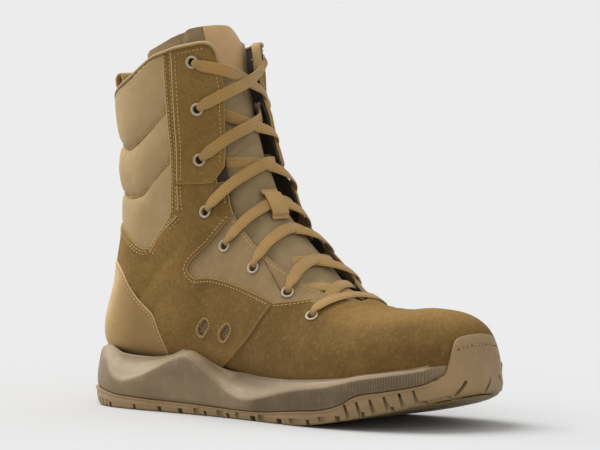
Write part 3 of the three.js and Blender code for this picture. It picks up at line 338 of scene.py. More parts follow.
def round_hole(station, turn, radius, count=14):
    angle = np.linspace(0, 2 * np.pi, count + 1)[:, None]
    line = np.column_stack([np.full(count + 1, station), np.full(count + 1, turn)])
    normal = skin_normal(line[:, 0], line[:, 1])
    across = unit(skin(line[:, 0], line[:, 1] + T_STEP) - skin(line[:, 0], line[:, 1]))
    up = np.cross(normal, across)
    return moved(line, radius * (across * np.cos(angle) + up * np.sin(angle)))


def dense(points, step=0.5, rounded=True):
    """A smooth line through the points, a step of its own units apart."""
    points = np.asarray(points, float)
    length = arc_length(points)
    at = np.linspace(0, length[-1], max(int(length[-1] / step), 1) + 1)
    if rounded and len(points) > 2:
        return spline(length, points, at)
    return np.stack([np.interp(at, length, column) for column in points.T], 1)


def side_samples():
    """Many places of the outer side, with a tree that finds the one nearest a place of the side view."""
    s, t = np.meshgrid(np.linspace(0.15, 17.9, 356), np.linspace(0.01, 0.5, 197), indexing="ij")
    return s.ravel(), t.ravel(), tree_of(skin(s, t) * (1, 0, 1))


SIDE_S, SIDE_T, SIDE_TREE = side_samples()


def on_side(points, step=1.0, rounded=True):
    """Stations and turns of a line drawn in the side view of the outer side."""
    line = dense(points, step, rounded)
    found = np.array([SIDE_TREE.find((x, 0, z))[1] for x, z in line])
    s, t = SIDE_S[found].copy(), SIDE_T[found].copy()
    for _ in range(4):
        here = skin(s, t)[:, [0, 2]]
        js = (skin(s + S_STEP, t)[:, [0, 2]] - here) / S_STEP
        jt = (skin(s, np.minimum(t + T_STEP, 0.5 + T_STEP))[:, [0, 2]] - here) / T_STEP
        det = js[:, 0] * jt[:, 1] - js[:, 1] * jt[:, 0]
        det = np.where(np.abs(det) < FLAT_PLACE, np.inf, det)
        miss = line - here
        s = s + np.clip((miss[:, 0] * jt[:, 1] - miss[:, 1] * jt[:, 0]) / det, -0.1, 0.1)
        t = np.clip(t + np.clip((js[:, 0] * miss[:, 1] - js[:, 1] * miss[:, 0]) / det, -0.01, 0.01), 0, 0.5)
    return np.stack([s, t], 1)


def rise_over(stations, places, line, which, drop=0.0):
    """The first or last station at which places come up through a line of the side view, or the top."""
    over = places[:, 2] - from_table(line, places[:, 0]) + drop
    k = np.flatnonzero((over[:-1] < 0) & (over[1:] >= 0))
    if len(k) == 0:
        return TOP
    i = k[which]
    return stations[i] + (stations[i + 1] - stations[i]) * over[i] / (over[i] - over[i + 1])


def wobble(points, size, amount, seed):
    """A slow, seeded unevenness of a surface."""
    draw = np.random.default_rng(seed)
    total = np.zeros(len(points))
    for _ in range(6):
        direction = draw.normal(size=3)
        direction /= np.linalg.norm(direction)
        wave = size * draw.uniform(0.7, 1.6)
        total += np.sin(points @ direction * 2 * np.pi / wave + draw.uniform(0, 6.28))
    return amount * total / 3


def pad_share(station, turn):
    """How full the collar's padding is at a place, from 0 at the strip and the base to 1."""
    side = np.minimum(np.abs(turn), 1 - np.abs(turn))
    to_strip = np.minimum((0.5 - side) / (0.5 - STRIP_TURN), 1)
    low = PAD_LOW[0] + (PAD_LOW[1] - PAD_LOW[0]) * to_strip**2
    return smooth(0, 1, (station - low) / 1.2) * smooth(0.195, 0.290, side)


# Objects and meshes
def link(name, data):
    obj = bpy.data.objects.new(name, data)
    bpy.context.scene.collection.objects.link(obj)
    return obj


def add_object(name, mesh, finish, replaced=()):
    obj = link(name, mesh)
    mesh.materials.append(finish)
    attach(obj, "root")
    if replaced:
        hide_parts(*replaced)
    return obj


def wall(obj, thickness, edge):
    """Gives a sheet its thickness under the face, and rounds its cut edges."""
    solid = obj.modifiers.new("wall", "SOLIDIFY")
    solid.thickness = thickness * MM
    solid.offset = -1
    solid.use_rim = True
    if edge:
        bevel = obj.modifiers.new("edge", "BEVEL")
        bevel.width = edge * MM
        bevel.segments = 2
        bevel.limit_method = "ANGLE"
        bevel.angle_limit = math.radians(50)
        bevel.harden_normals = True
    return obj


def places_of(bm):
    return np.array([v.co[:] for v in bm.verts], float)


def set_floats(mesh, name, values):
    """Values that a finish reads, one for each vertex."""
    mesh.attributes.new(name, "FLOAT", "POINT").data.foreach_set("value", values.astype(np.float32))


def mesh_from(bm, name, places=None, uv=None):
    """A smooth mesh of the bmesh, at its own places or at others. All are in millimetres."""
    places = places_of(bm) if places is None else places
    mesh = bpy.data.meshes.new(name)
    bm.to_mesh(mesh)
    bm.free()
    mesh.vertices.foreach_set("co", ((places + SHIFT) * MM).astype(np.float32).ravel())
    mesh.polygons.foreach_set("use_smooth", np.ones(len(mesh.polygons), bool))
    if uv is not None:
        corner = np.empty(len(mesh.loops), np.int32)
        mesh.loops.foreach_get("vertex_index", corner)
        layer = mesh.uv_layers.new(name="cloth")
        layer.data.foreach_set("uv", (uv[corner] * MM).astype(np.float32).ravel())
    mesh.update()
    return mesh


def inside(points, loop):
    """Whether each flat point lies inside a closed loop."""
    x, y = points[:, 0][:, None], points[:, 1][:, None]
    x0, y0 = loop[:, 0], loop[:, 1]
    x1, y1 = np.roll(x0, -1), np.roll(y0, -1)
    level = np.where(y1 == y0, 1e-12, y1 - y0)
    crossing = ((y0 > y) != (y1 > y)) & (x < (x1 - x0) * (y - y0) / level + x0)
    return crossing.sum(1) % 2 == 1


class Chart:
    """Stations and turns of one panel laid out flat in millimetres."""

    def __init__(self, low, high):
        self.s = np.linspace(low[0], high[0], 181)
        self.t = np.linspace(low[1], high[1], 141)
        s, t = np.meshgrid(self.s, self.t, indexing="ij")
        places = skin(s, t).reshape(len(self.s), len(self.t), 3)
        self.v = self.spread(places, 0)
        self.u = self.spread(places, 1)

    def spread(self, places, axis):
        """How far along each row lies, by the upper quartile of its steps."""
        steps = np.linalg.norm(np.diff(places, axis=axis), axis=2)
        return np.r_[0, np.cumsum(np.percentile(steps, 75, axis=1 - axis))]

    def flat(self, places):
        return np.stack([np.interp(places[:, 0], self.s, self.v), np.interp(places[:, 1], self.t, self.u)], 1)

    def back(self, flat):
        return np.interp(flat[:, 0], self.v, self.s), np.interp(flat[:, 1], self.u, self.t)


def loop_tree(loop, spacing=0.2):
    fine = dense(np.vstack([loop, loop[:1]]), spacing, rounded=False)
    return tree_of(np.column_stack([fine, np.zeros(len(fine))]))


def flat_grid(chart, cell):
    """A grid of cells over the whole chart."""
    bm = bmesh.new()
    rows, columns = (max(int(np.ceil(reach / cell)), 2) for reach in (chart.v[-1], chart.u[-1]))
    bmesh.ops.create_grid(bm, x_segments=rows, y_segments=columns, size=0.5)
    for v in bm.verts:
        v.co.x = (v.co.x + 0.5) * chart.v[-1]
        v.co.y = (v.co.y + 0.5) * chart.u[-1]
    return bm


def nearest_hit(trees, place):
    return min((tree.find(place) for tree in trees), key=lambda hit: hit[2])


def drop_cells(bm, loops, trees, cell):
    """Takes away the cells outside the first loop, inside the others, or close to one of their lines."""
    centres = np.array([face.calc_center_median()[:2] for face in bm.faces])
    keep = inside(centres, loops[0])
    for loop in loops[1:]:
        keep &= ~inside(centres, loop)
    keep &= np.array([nearest_hit(trees, (x, y, 0))[2] for x, y in centres]) > 0.3 * cell
    bmesh.ops.delete(bm, geom=[f for f, kept in zip(bm.faces[:], keep) if not kept], context="FACES")


def snap_rim(bm, trees, corners, cell):
    """Moves the ragged rim on to the lines, and its nearest vertices on to the corners."""
    rim = [v for v in bm.verts if v.is_boundary]
    for v in rim:
        v.co = nearest_hit(trees, v.co)[0]
    for corner in corners:
        target = Vector((*corner, 0))
        nearest = min(rim, key=lambda v: (v.co - target).length)
        if (nearest.co - target).length < 1.2 * cell:
            nearest.co = target
    bmesh.ops.remove_doubles(bm, verts=bm.verts, dist=0.05)


def even_cells(bm):
    """Evens out the cells beside the rim."""
    rim = {v for v in bm.verts if v.is_boundary}
    close = {v for v in bm.verts if v not in rim and any(e.other_vert(v) in rim for e in v.link_edges)}
    around = list({e.other_vert(v) for v in close for e in v.link_edges} - rim | close)
    for _ in range(3):
        bmesh.ops.smooth_vert(bm, verts=around, factor=0.5, use_axis_x=True, use_axis_y=True,
                              use_axis_z=False)


def cut_panel(sides, cell, border, holes):
    """A flat grid cut to an outline given as sides in stations and turns, with a narrow border."""
    outline = np.vstack(sides)
    chart = Chart(outline.min(0), outline.max(0))
    corners = chart.flat(np.array([side[end] for side in sides for end in (0, -1)]))
    loops = [chart.flat(line) for line in (outline, *holes)]
    trees = [loop_tree(loop) for loop in loops]
    bm = flat_grid(chart, cell)
    drop_cells(bm, loops, trees, cell)
    snap_rim(bm, trees, corners, cell)
    even_cells(bm)
    if border:
        bmesh.ops.inset_region(bm, faces=bm.faces[:], thickness=border, use_boundary=True,
                               use_even_offset=True)
    flat = places_of(bm)
    edge = np.array([nearest_hit(trees, (x, y, 0))[2] for x, y, _ in flat])
    return bm, chart, flat, edge


# Painted shade: how dark some panels are painted from their place and the way they face, standing in for the
# fall of the light.
# The vamp is darker where it faces sideways, less so low down and on the toe's top; the quarter and the
# counter are darker towards the front
PAINTED_SHADE_BY_PANEL = {
    "vamp": lambda at, way: smooth(0.99, 0.70, np.abs(way[:, 2])) * (1 - 0.3 * smooth(46, 30, at[:, 2]))
        * (1 - 0.8 * smooth(262, 286, at[:, 0]) * smooth(48, 66, at[:, 2])),
    "quarter": lambda at, way: 0.8 * smooth(66, 100, at[:, 0]) * smooth(38, 52, at[:, 2]),
    "heel_counter_leather": lambda at, way: smooth(10, 46, at[:, 0]),
}


def panel(name, sides, finish, out, thickness, side=1, cell=1.8, border=0.8, holes=(), replaced=(),
          edge_round=0.35, form=skin):
    """A panel of leather or cloth on the last. out(stations, turns, edge, places) is its height over it."""
    bm, chart, flat, edge = cut_panel(sides, cell, border, holes)
    s, t = chart.back(flat)
    base = form(s, side * t)
    normal = skin_normal(s, side * t, form=form)
    places = base + normal * out(s, t, edge, base)[:, None]
    mesh = mesh_from(bm, name, places, uv=flat[:, [1, 0]])
    set_floats(mesh, "edge", np.minimum(edge, FAR_FROM_EDGE))
    # Painted shade values of the panel, which its finish reads
    set_floats(mesh, "shade", PAINTED_SHADE_BY_PANEL.get(name, lambda at, way: 0 * at[:, 0])(places, normal))
    facing = np.empty(len(mesh.vertices) * 3, np.float32)
    mesh.vertex_normals.foreach_get("vector", facing)
    if (facing.reshape(-1, 3) * normal).sum() < 0:
        mesh.flip_normals()
    return wall(add_object(name, mesh, finish, replaced), thickness, edge_round)


def wrapped_grid(rows, columns):
    """A grid, with the row and the column of each vertex."""
    bm = bmesh.new()
    bmesh.ops.create_grid(bm, x_segments=rows, y_segments=columns, size=0.5)
    share = places_of(bm) + 0.5
    return bm, np.rint(share[:, 0] * rows).astype(int), np.rint(share[:, 1] * columns).astype(int)


def close_grid(bm, places, name, gap, fill=False):
    """The grid bent to its places in millimetres, with its sides joined and its ends closed if need be."""
    for v, place in zip(bm.verts, places):
        v.co = place
    bmesh.ops.remove_doubles(bm, verts=bm.verts, dist=gap)
    if fill:
        bmesh.ops.holes_fill(bm, edges=[e for e in bm.edges if e.is_boundary], sides=0)
    bmesh.ops.recalc_face_normals(bm, faces=bm.faces)
    return mesh_from(bm, name)


def sweep(path, face, section, name):
    """A closed section carried along a path. section is one loop, or one for each place."""
    path, face, section = (np.asarray(rows, float) for rows in (path, face, section))
    if section.ndim == 2:
        section = np.repeat(section[None], len(path), 0)
    across = unit(np.cross(np.gradient(path, axis=0), face))
    up = np.cross(across, unit(np.gradient(path, axis=0)))
    rows, columns = section.shape[:2]
    bm, i, j = wrapped_grid(rows - 1, columns)
    wide, high = section[i, j % columns].T
    middle = section[rows // 2]
    girth, length = arc_length(np.vstack([middle, middle[:1]])), arc_length(path)
    layer = bm.loops.layers.uv.new("cloth")
    bm.verts.index_update()
    for face_of in bm.faces:
        for loop in face_of.loops:
            k = loop.vert.index
            loop[layer].uv = (girth[j[k]] * MM, length[i[k]] * MM)
    places = path[i] + across[i] * wide[:, None] + up[i] * high[:, None]
    return close_grid(bm, places, name, 0.0005, fill=True)


def oval(width, thickness, count, flat):
    """A rounded section: an ellipse at flat 2, and nearer a box above it."""
    angle = np.linspace(0, 2 * np.pi, count, endpoint=False)
    c, s = np.cos(angle), np.sin(angle)
    return np.stack([width / 2 * np.sign(c) * np.abs(c) ** (2 / flat),
                     thickness / 2 * np.sign(s) * np.abs(s) ** (2 / flat)], 1)


# Finishes
def linear(colour):
    """A colour as seen on the screen, in the shader's values."""
    return tuple(((c / 255 + 0.055) / 1.055) ** 2.4 if c > 10 else c / 255 / 12.92 for c in colour)


class Finish:
    """A material with its nodes. Colours are as seen on the screen, and sizes are millimetres."""

    def __init__(self, name, colour, roughness, **sockets):
        self.material = bpy.data.materials.new(name)
        self.material.use_nodes = True
        self.tree = self.material.node_tree
        self.shader = self.tree.nodes["Principled BSDF"]
        self.shader.inputs["Base Color"].default_value = (*linear(colour), 1)
        self.shader.inputs["Roughness"].default_value = roughness
        for key, value in sockets.items():
            self.shader.inputs[key.replace("_", " ")].default_value = value
        self.place = self.node("ShaderNodeTexCoord").outputs["Object"]
        self.colour = None

    def node(self, kind, settings=None, **inputs):
        """A node of a kind. An input is given by its name, or by its number after a low line."""
        made = self.tree.nodes.new(kind)
        for key, value in (settings or {}).items():
            setattr(made, key, value)
        for key, value in inputs.items():
            socket = made.inputs[int(key[1:])] if key[0] == "_" else made.inputs[key]
            if isinstance(value, bpy.types.NodeSocket):
                self.tree.links.new(value, socket)
            else:
                socket.default_value = value
        return made

    def noise(self, size, detail=2.0, rough=0.55):
        """Cloudy values of a grain size."""
        return self.node("ShaderNodeTexNoise", Vector=self.place, Scale=1000 / size, Detail=detail,
                         Roughness=rough).outputs["Fac"]

    def ramp(self, value, low, high, end=1.0, start=0.0):
        """Goes softly from start to end while the value goes from low to high."""
        return self.node("ShaderNodeMapRange", {"interpolation_type": "SMOOTHSTEP"}, Value=value,
                         _1=low, _2=high, _3=start, _4=end).outputs[0]

    def math(self, operation, a, b=0.0):
        return self.node("ShaderNodeMath", {"operation": operation}, _0=a, _1=b).outputs[0]

    def tint(self, amount, colour):
        """Moves the colour towards another where amount says."""
        made = self.node("ShaderNodeMix", {"data_type": "RGBA"}, _0=amount)
        made.inputs[6].default_value = self.shader.inputs["Base Color"].default_value
        made.inputs[7].default_value = (*linear(colour), 1)
        if self.colour is not None:
            self.tree.links.new(self.colour, made.inputs[6])
        self.colour = made.outputs[2]

    def clouds(self, size, detail, low, high, amount, colour, rough=0.55):
        """Moves the colour towards another in clouds of a grain size, where the noise is from low to high."""
        self.tint(self.ramp(self.noise(size, detail, rough), low, high, amount), colour)

    def marks(self, name, amount, colour):
        """Moves the colour towards another where an attribute of the piece says."""
        self.tint(self.math("MULTIPLY", self.attribute(name), amount), colour)

    def attribute(self, name):
        return self.node("ShaderNodeAttribute", {"attribute_name": name}).outputs["Fac"]

    def turned_cloth(self, angle):
        """The piece's own map, turned."""
        cloth_map = self.node("ShaderNodeUVMap", {"uv_map": "cloth"}).outputs[0]
        return self.node("ShaderNodeMapping", Vector=cloth_map, Rotation=(0, 0, angle)).outputs[0]

    def threads(self, at, direction, pitch, wander=0.25):
        """Even bands, a pitch apart."""
        return self.node("ShaderNodeTexWave", {"bands_direction": direction, "wave_profile": "SIN"},
                         Vector=at, Scale=BAND_SCALE / pitch, Distortion=wander,
                         Detail=0.0).outputs["Fac"]

    def roughen(self, value):
        self.tree.links.new(value, self.shader.inputs["Roughness"])

    def bump(self, height, strength, distance):
        made = self.node("ShaderNodeBump", Height=height, Strength=strength, Distance=distance * MM)
        before = self.shader.inputs["Normal"]
        if before.is_linked:
            self.tree.links.new(before.links[0].from_socket, made.inputs["Normal"])
        self.tree.links.new(made.outputs[0], before)

    def done(self):
        self.tree.links.new(self.colour, self.shader.inputs["Base Color"])
        return self.material


def suede(name, mid, deep, light, cut):
    f = Finish(name, mid, 0.95, Sheen_Weight=0.12, Sheen_Roughness=0.5, Sheen_Tint=(*linear(light), 1),
               Specular_IOR_Level=0.2)
    f.clouds(60, 2, 0.35, 0.70, 0.25, deep)
    # Painted shade where the panel's shade values say
    f.marks("shade", 0.9, deep)
    f.clouds(13, 3, 0.42, 0.72, 0.14, light)
    f.clouds(2.8, 3, 0.46, 0.75, 0.30, light, 0.7)
    f.clouds(1.8, 3, 0.56, 0.28, 0.72, deep, 0.8)
    f.tint(f.ramp(f.attribute("edge"), 0.50, 0.12, 0.8), cut)
    f.bump(f.noise(1.3, 3, 0.8), 0.6, 0.6)
    f.bump(f.noise(6.0, 2), 0.25, 0.9)
    return f.done()


def smooth_leather(name, mid, deep, light, cut):
    f = Finish(name, mid, 0.6, Sheen_Weight=0.08, Specular_IOR_Level=0.35, Coat_Weight=0.05,
               Coat_Roughness=0.45)
    f.clouds(60, 2, 0.35, 0.70, 0.55, light)
    # Painted shade where the panel's shade values say
    f.tint(f.attribute("shade"), deep)
    f.clouds(16, 4, 0.45, 0.75, 0.22, deep, 0.6)
    f.clouds(2.4, 3, 0.50, 0.30, 0.35, deep, 0.7)
    f.tint(f.ramp(f.attribute("edge"), 0.50, 0.12, 0.85), cut)
    f.roughen(f.ramp(f.noise(14, 3), 0.3, 0.7, 0.72, 0.52))
    f.bump(f.noise(1.6, 4, 0.7), 0.3, 0.35)
    return f.done()


def cloth(name, mid, deep, light, pitch, strength, height, angle=0.0, rows=1.0):
    """Plain weave: threads that cross over and under on the piece's own map."""
    f = Finish(name, mid, 0.85, Sheen_Weight=0.2, Sheen_Roughness=0.5, Sheen_Tint=(*linear(light), 1),
               Specular_IOR_Level=0.25)
    at = f.turned_cloth(angle)
    warp = f.math("SUBTRACT", f.threads(at, "X", pitch), 0.5)
    weft = f.math("SUBTRACT", f.threads(at, "Y", pitch * rows), 0.5)
    weave = f.math("ADD", f.math("MULTIPLY", f.math("MULTIPLY", warp, weft), 2.0), 0.5)
    f.clouds(40, 2, 0.35, 0.7, 0.3, deep)
    f.clouds(7, 2, 0.4, 0.7, 0.2, light)
    f.tint(f.ramp(weave, 0.50, 0.10, strength), deep)
    f.tint(f.ramp(weave, 0.55, 0.95, 0.6 * strength), light)
    f.bump(weave, 0.8, height)
    return f.done()


def braid(name, mid, deep, light, pitch, strength):
    """Flat braid: ribs that run along it, with short slanting threads on each."""
    f = Finish(name, mid, 0.75, Sheen_Weight=0.15, Sheen_Roughness=0.5, Specular_IOR_Level=0.3)
    rib = f.threads(f.turned_cloth(0.0), "X", pitch, 0.0)
    slant = f.threads(f.turned_cloth(0.6), "Y", 1.0)
    f.clouds(30, 2, 0.35, 0.7, 0.3, deep)
    f.tint(f.ramp(slant, 0.6, 0.1, 0.3 * strength), deep)
    f.tint(f.ramp(rib, 0.45, 0.05, strength), deep)
    f.tint(f.ramp(rib, 0.6, 1.0, 0.5 * strength), light)
    f.bump(f.math("ADD", rib, f.math("MULTIPLY", slant, 0.3)), 0.7, 0.25)
    return f.done()


def moulded(name, mid, deep, light, roughness, grain, coat=0.0):
    """Foam, rubber or coated metal, with slow clouds, a fine skin, painted shade in grooves and painted light
    on a band.
    """
    f = Finish(name, mid, roughness, Specular_IOR_Level=0.4, Coat_Weight=coat, Coat_Roughness=0.3)
    f.clouds(40, 2, 0.35, 0.7, 0.4, deep)
    f.clouds(6, 3, 0.5, 0.75, 0.25, light)
    # Painted shade in the grooves and painted light on the band, where the piece's values say
    f.marks("groove", 0.6, deep)
    f.marks("band", 0.75, light)
    f.roughen(f.ramp(f.noise(9, 3), 0.3, 0.7, roughness + 0.08, roughness - 0.06))
    f.bump(f.noise(grain, 2), 0.18, 0.2)
    return f.done()


# Each finish: its colour, deeper, lighter, and at a cut edge
SUEDE = suede("suede_nap", (124, 95, 49), (92, 69, 33), (150, 120, 69), (160, 132, 84))
COUNTER = smooth_leather("nubuck_counter", (170, 137, 79), (134, 103, 51), (190, 158, 102), (192, 162, 110))
PATCH = smooth_leather("patch_leather", (176, 142, 96), (152, 118, 74), (192, 158, 112), (196, 164, 118))
PIPING = smooth_leather("cut_edge", (150, 123, 78), (128, 102, 62), (168, 140, 94), (150, 124, 80))
CUT_EDGE = smooth_leather("pale_cut_edge", (160, 130, 80), (134, 106, 60), (176, 146, 96), (150, 124, 80))
KEEPER_LEATHER = smooth_leather("keeper_leather", (150, 118, 64), (122, 92, 46), (172, 138, 82),
                                (150, 124, 80))
# Weaves and braids: the colours, the pitch of the threads and how strongly they show
PAD_CLOTH = cloth("collar_cloth", (158, 134, 94), (136, 113, 76), (176, 152, 112), 1.0, 0.25, 0.08)
CORDURA = cloth("coarse_weave", (136, 112, 76), (96, 76, 47), (168, 143, 103), 2.0, 0.85, 0.4, angle=0.5)
TONGUE_CLOTH = cloth("tongue_weave", (142, 121, 86), (110, 91, 62), (164, 142, 106), 1.6, 0.45, 0.25,
                     rows=0.6)
MESH = cloth("vent_mesh", (120, 101, 70), (62, 51, 35), (146, 126, 92), 1.4, 0.9, 0.4, angle=0.8)
LINING = cloth("dark_lining", (62, 54, 43), (40, 34, 27), (82, 72, 58), 1.2, 0.4, 0.2)
LACE_CLOTH = braid("lace_braid", (164, 128, 70), (112, 83, 40), (188, 154, 96), 1.25, 0.6)
WEBBING = braid("webbing", (176, 141, 84), (140, 108, 60), (198, 164, 106), 1.6, 0.4)
# Moulded and other plain finishes: the colours, roughness and the size of the skin's grain
FOAM = moulded("midsole_foam", (118, 98, 70), (80, 64, 42), (152, 132, 104), 0.55, 0.8)
RUBBER = moulded("outsole_rubber", (142, 116, 78), (108, 86, 54), (164, 138, 97), 0.5, 1.2)
EYELET_METAL = moulded("eyelet_coat", (166, 148, 120), (138, 120, 94), (188, 170, 142), 0.45, 0.6, 0.2)
THREAD = moulded("stitch_thread", (178, 150, 100), (150, 122, 76), (200, 174, 126), 0.7, 0.4)
# Painted shadow: a dark cord laid where the collar's seam and the bumper's groove lie in shade
SHADOW_CORD = moulded("seam_shadow", (104, 82, 46), (84, 64, 36), (120, 96, 56), 0.9, 0.4)


# Lines and panels of the upper
def throat_line(low, high):
    stations = np.arange(low, high, 0.05)
    corners = [row[0] for row in THROAT if low <= row[0] <= high]
    stations = np.unique(np.r_[stations, corners, high])
    return np.stack([stations, throat_turn(stations)], 1)


def rim_rows():
    """The turns from the throat to the back, with the stations at which the skin comes up to the rim."""
    turns, stations = np.arange(0.095, 0.5001, 0.005), np.linspace(8.0, TOP, 240)
    return turns, np.array([rise_over(stations, skin(stations, turn), RIM, -1) for turn in turns])


RIM_TURNS, RIM_STATIONS = rim_rows()


def rim_station(turn):
    return np.interp(turn, RIM_TURNS, RIM_STATIONS)


def leather_out(height, wave=22, amount=0.35, seed=1):
    """The height of a panel that is a little uneven away from its edge."""
    def out(s, t, edge, places):
        return height + wobble(places, wave, amount, seed) * smooth(0, 8, edge)
    return out


def crease(place, middle, depth, width):
    return depth * np.exp(-((place - middle) / width) ** 2)


def mirrored(lines, about):
    """The same lines on the other side, run backwards."""
    return [flipped(line, about)[::-1] for line in reversed(lines)]


def below_rim(line):
    return line[line[:, 0] <= rim_station(line[:, 1]) + 0.001]


def rim_line(low, high):
    turns = np.linspace(low, high, max(int((high - low) / 0.004), 3))
    return np.stack([rim_station(turns), turns], 1)


class Stitches:
    """Stitches of one colour of thread, gathered into one piece."""

    def __init__(self, name):
        self.name, self.places = name, []

    def put(self, places, runs, normals, length, thread):
        upright = Matrix.Rotation(math.pi / 2, 4, "X")
        for place, run, normal in zip(places, runs, normals):
            axes = Matrix((np.cross(run, normal) * thread, run * length / 2, normal * thread))
            turned = axes.transposed().to_4x4()
            turned.translation = Vector(place)
            self.places.append(turned @ upright)

    def row(self, line, out, side=1, pitch=2.7, length=1.9, thread=0.36, form=skin):
        """A row along a line of stations and turns. out is its height, one or for each place."""
        t = side * line[:, 1]
        normal = skin_normal(line[:, 0], t, form=form)
        base = form(line[:, 0], t) + normal * np.reshape(out, (-1, 1))
        arc = arc_length(base)
        at = np.arange(pitch / 2, arc[-1] - length / 3, pitch)
        places, ahead, behind, faces = (
            np.stack([np.interp(where, arc, column) for column in rows.T], 1)
            for where, rows in ((at, base), (at + 0.6, base), (at - 0.6, base), (at, normal)))
        runs = unit(ahead - behind)
        self.put(places, runs, unit(faces - runs * (faces * runs).sum(1)[:, None]), length, thread)

    def done(self):
        """Joins them in batches, which is quicker than one by one."""
        whole = bmesh.new()
        for first in range(0, len(self.places), 64):
            part = bmesh.new()
            for place in self.places[first:first + 64]:
                bmesh.ops.create_uvsphere(part, u_segments=6, v_segments=4, radius=1, matrix=place)
            batch = bpy.data.meshes.new("batch")
            part.to_mesh(batch)
            part.free()
            whole.from_mesh(batch)
            bpy.data.meshes.remove(batch)
        return add_object(self.name, mesh_from(whole, self.name), THREAD)


# Height of the face under each eyelet
UNDER_EYELET = 3 * [EYESTAY_OUT] + [QUARTER_OUT] + 3 * [FABRIC_OUT + 0.1] + [VAMP_OUT + 0.1]


def eyelet_holes(numbers):
    return [round_hole(*EYELETS[k][:2], 3.1) for k in numbers]


# Lines that more than one panel or row of stitches follows
SEAM_LINE = on_side(SEAM)
SEAM_LINE = SEAM_LINE[SEAM_LINE[:, 1] < 0.425]
SEAM_FOOT = SEAM_LINE[-1]
FRONT_TURN = float(throat_turn(THROAT_HIGH))
VAMP_TOP = on_side(VAMP_TIP)
VAMP_TOP = VAMP_TOP[VAMP_TOP[:, 1] > 0.03]
CORNER = on_side(TRIANGLE[:2])[0]
PAD_FRONT_LINE = below_rim(on_side(PAD_FRONT))
PAD_BASE_LINE = on_side(PAD_BASE)
PAD_BASE_LINE = PAD_BASE_LINE[PAD_BASE_LINE[:, 1] < 0.4995]
PAD_TURN = PAD_FRONT_LINE[0, 1]
# Feet of the vamp and of the quarter, under the midsole's edge
VAMP_FOOT = [[6.5, 0.425], [5.0, 0.42], [3.5, 0.42], [2.0, 0.44], [0.35, 0.47]]
HEEL_FOOT = [[9.3, 0.425], [10.4, 0.43], [11.2, 0.46], [11.75, 0.5]]


def make_vamp():
    tip = np.array([[6.22, 0.0], [6.30, 0.020]])
    half = [np.vstack([tip, VAMP_TOP[::-1]]), SEAM_LINE, np.vstack([SEAM_FOOT, VAMP_FOOT])]

    def out(s, t, edge, places):
        total = VAMP_OUT + wobble(places, 34, 0.35, 3) * smooth(0, 8, edge)
        for station, depth, width in VAMP_FOLDS:
            total = total - crease(s, station + 1.2 * np.abs(t), depth, width) * smooth(0.24, 0.14, np.abs(t))
        return total

    hole, = eyelet_holes([7])
    return panel("vamp", half + mirrored(half, 0), SUEDE, out, 1.6, cell=2.0,
                 holes=[hole, flipped(hole, 0)], replaced=("upper",))


def make_quarter():
    back = [PAD_BASE_LINE[-1, 0], 0.5]
    half = [np.vstack([back, PAD_BASE_LINE[::-1]]), PAD_FRONT_LINE[::-1],
            rim_line(FRONT_TURN, PAD_TURN)[::-1],
            throat_line(CORNER[0] + 0.03, THROAT_HIGH)[::-1], on_side(TRIANGLE), SEAM_LINE,
            np.vstack([SEAM_FOOT, HEEL_FOOT])]

    def out(s, t, edge, places):
        total = QUARTER_OUT + wobble(places, 30, 0.45, 5) * smooth(0, 8, edge)
        side = np.minimum(np.abs(t), 1 - np.abs(t))
        for station, turn, depth, width, reach in ANKLE_FOLDS:
            line = station + 2.2 * (side - turn)
            total = total - crease(s, line, depth, width) * np.exp(-((side - turn) / reach) ** 2)
        return total

    vents = [on_side(vent_ring(*vent, 0.0), step=0.4, rounded=False) for vent in VENTS]
    holes = [line for hole in vents + eyelet_holes([0, 1, 2, 3]) for line in (hole, flipped(hole, 0.5))]
    return panel("quarter", half + mirrored(half, 0.5), SUEDE, out, 1.5, cell=2.0, holes=holes)


def vent_ring(x, z, tilt, grow, steps=8):
    """A vent in the side view, grown by some millimetres: two half rounds with straight sides."""
    lean = math.radians(tilt)
    straight, radius = (VENT_LENGTH - VENT_WIDTH) / 2, VENT_WIDTH / 2 + grow
    points = []
    for end in (1, -1):
        for k in range(steps + 1):
            angle = lean - end * math.pi / 2 + k / steps * math.pi
            points.append((x + end * straight * math.cos(lean) + radius * math.cos(angle),
                           z + end * straight * math.sin(lean) + radius * math.sin(angle)))
    return points + points[:1]


def make_eyestay(side, word):
    strip, seam = below_rim(on_side(EYESTAY_STRIP)), on_side(EYESTAY_SEAM)
    seam = seam[seam[:, 1] > throat_turn(seam[:, 0])]
    lines = [strip, seam, throat_line(seam[-1, 0], THROAT_HIGH), rim_line(FRONT_TURN, strip[0, 1])]
    return panel(f"eyestay_{word}", lines, SUEDE, leather_out(EYESTAY_OUT, 26, 0.4, 11), 1.2,
                 side=side, holes=eyelet_holes([0, 1, 2]))


def make_fabric(side, word):
    low = on_side(FABRIC_LOW)
    lines = [throat_line(6.32, CORNER[0] + 0.1), low[low[:, 1] > 0.03]]
    return panel(f"side_fabric_{word}", lines, CORDURA, leather_out(FABRIC_OUT, 24, 0.3, 13), 1.4,
                 side=side, holes=eyelet_holes([4, 5, 6]))


def channel_paths():
    """The sewn channels of the collar: each on the outer side, then on the inner."""
    lines = []
    for path in CHANNELS:
        rows = np.array(path)
        turns = np.linspace(rows[0, 0], rows[-1, 0], 160)
        line = np.stack([spline(rows[:, 0], rows, turns)[:, 1], turns], 1)
        lines += [line, flipped(line, 0.5)]
    return lines


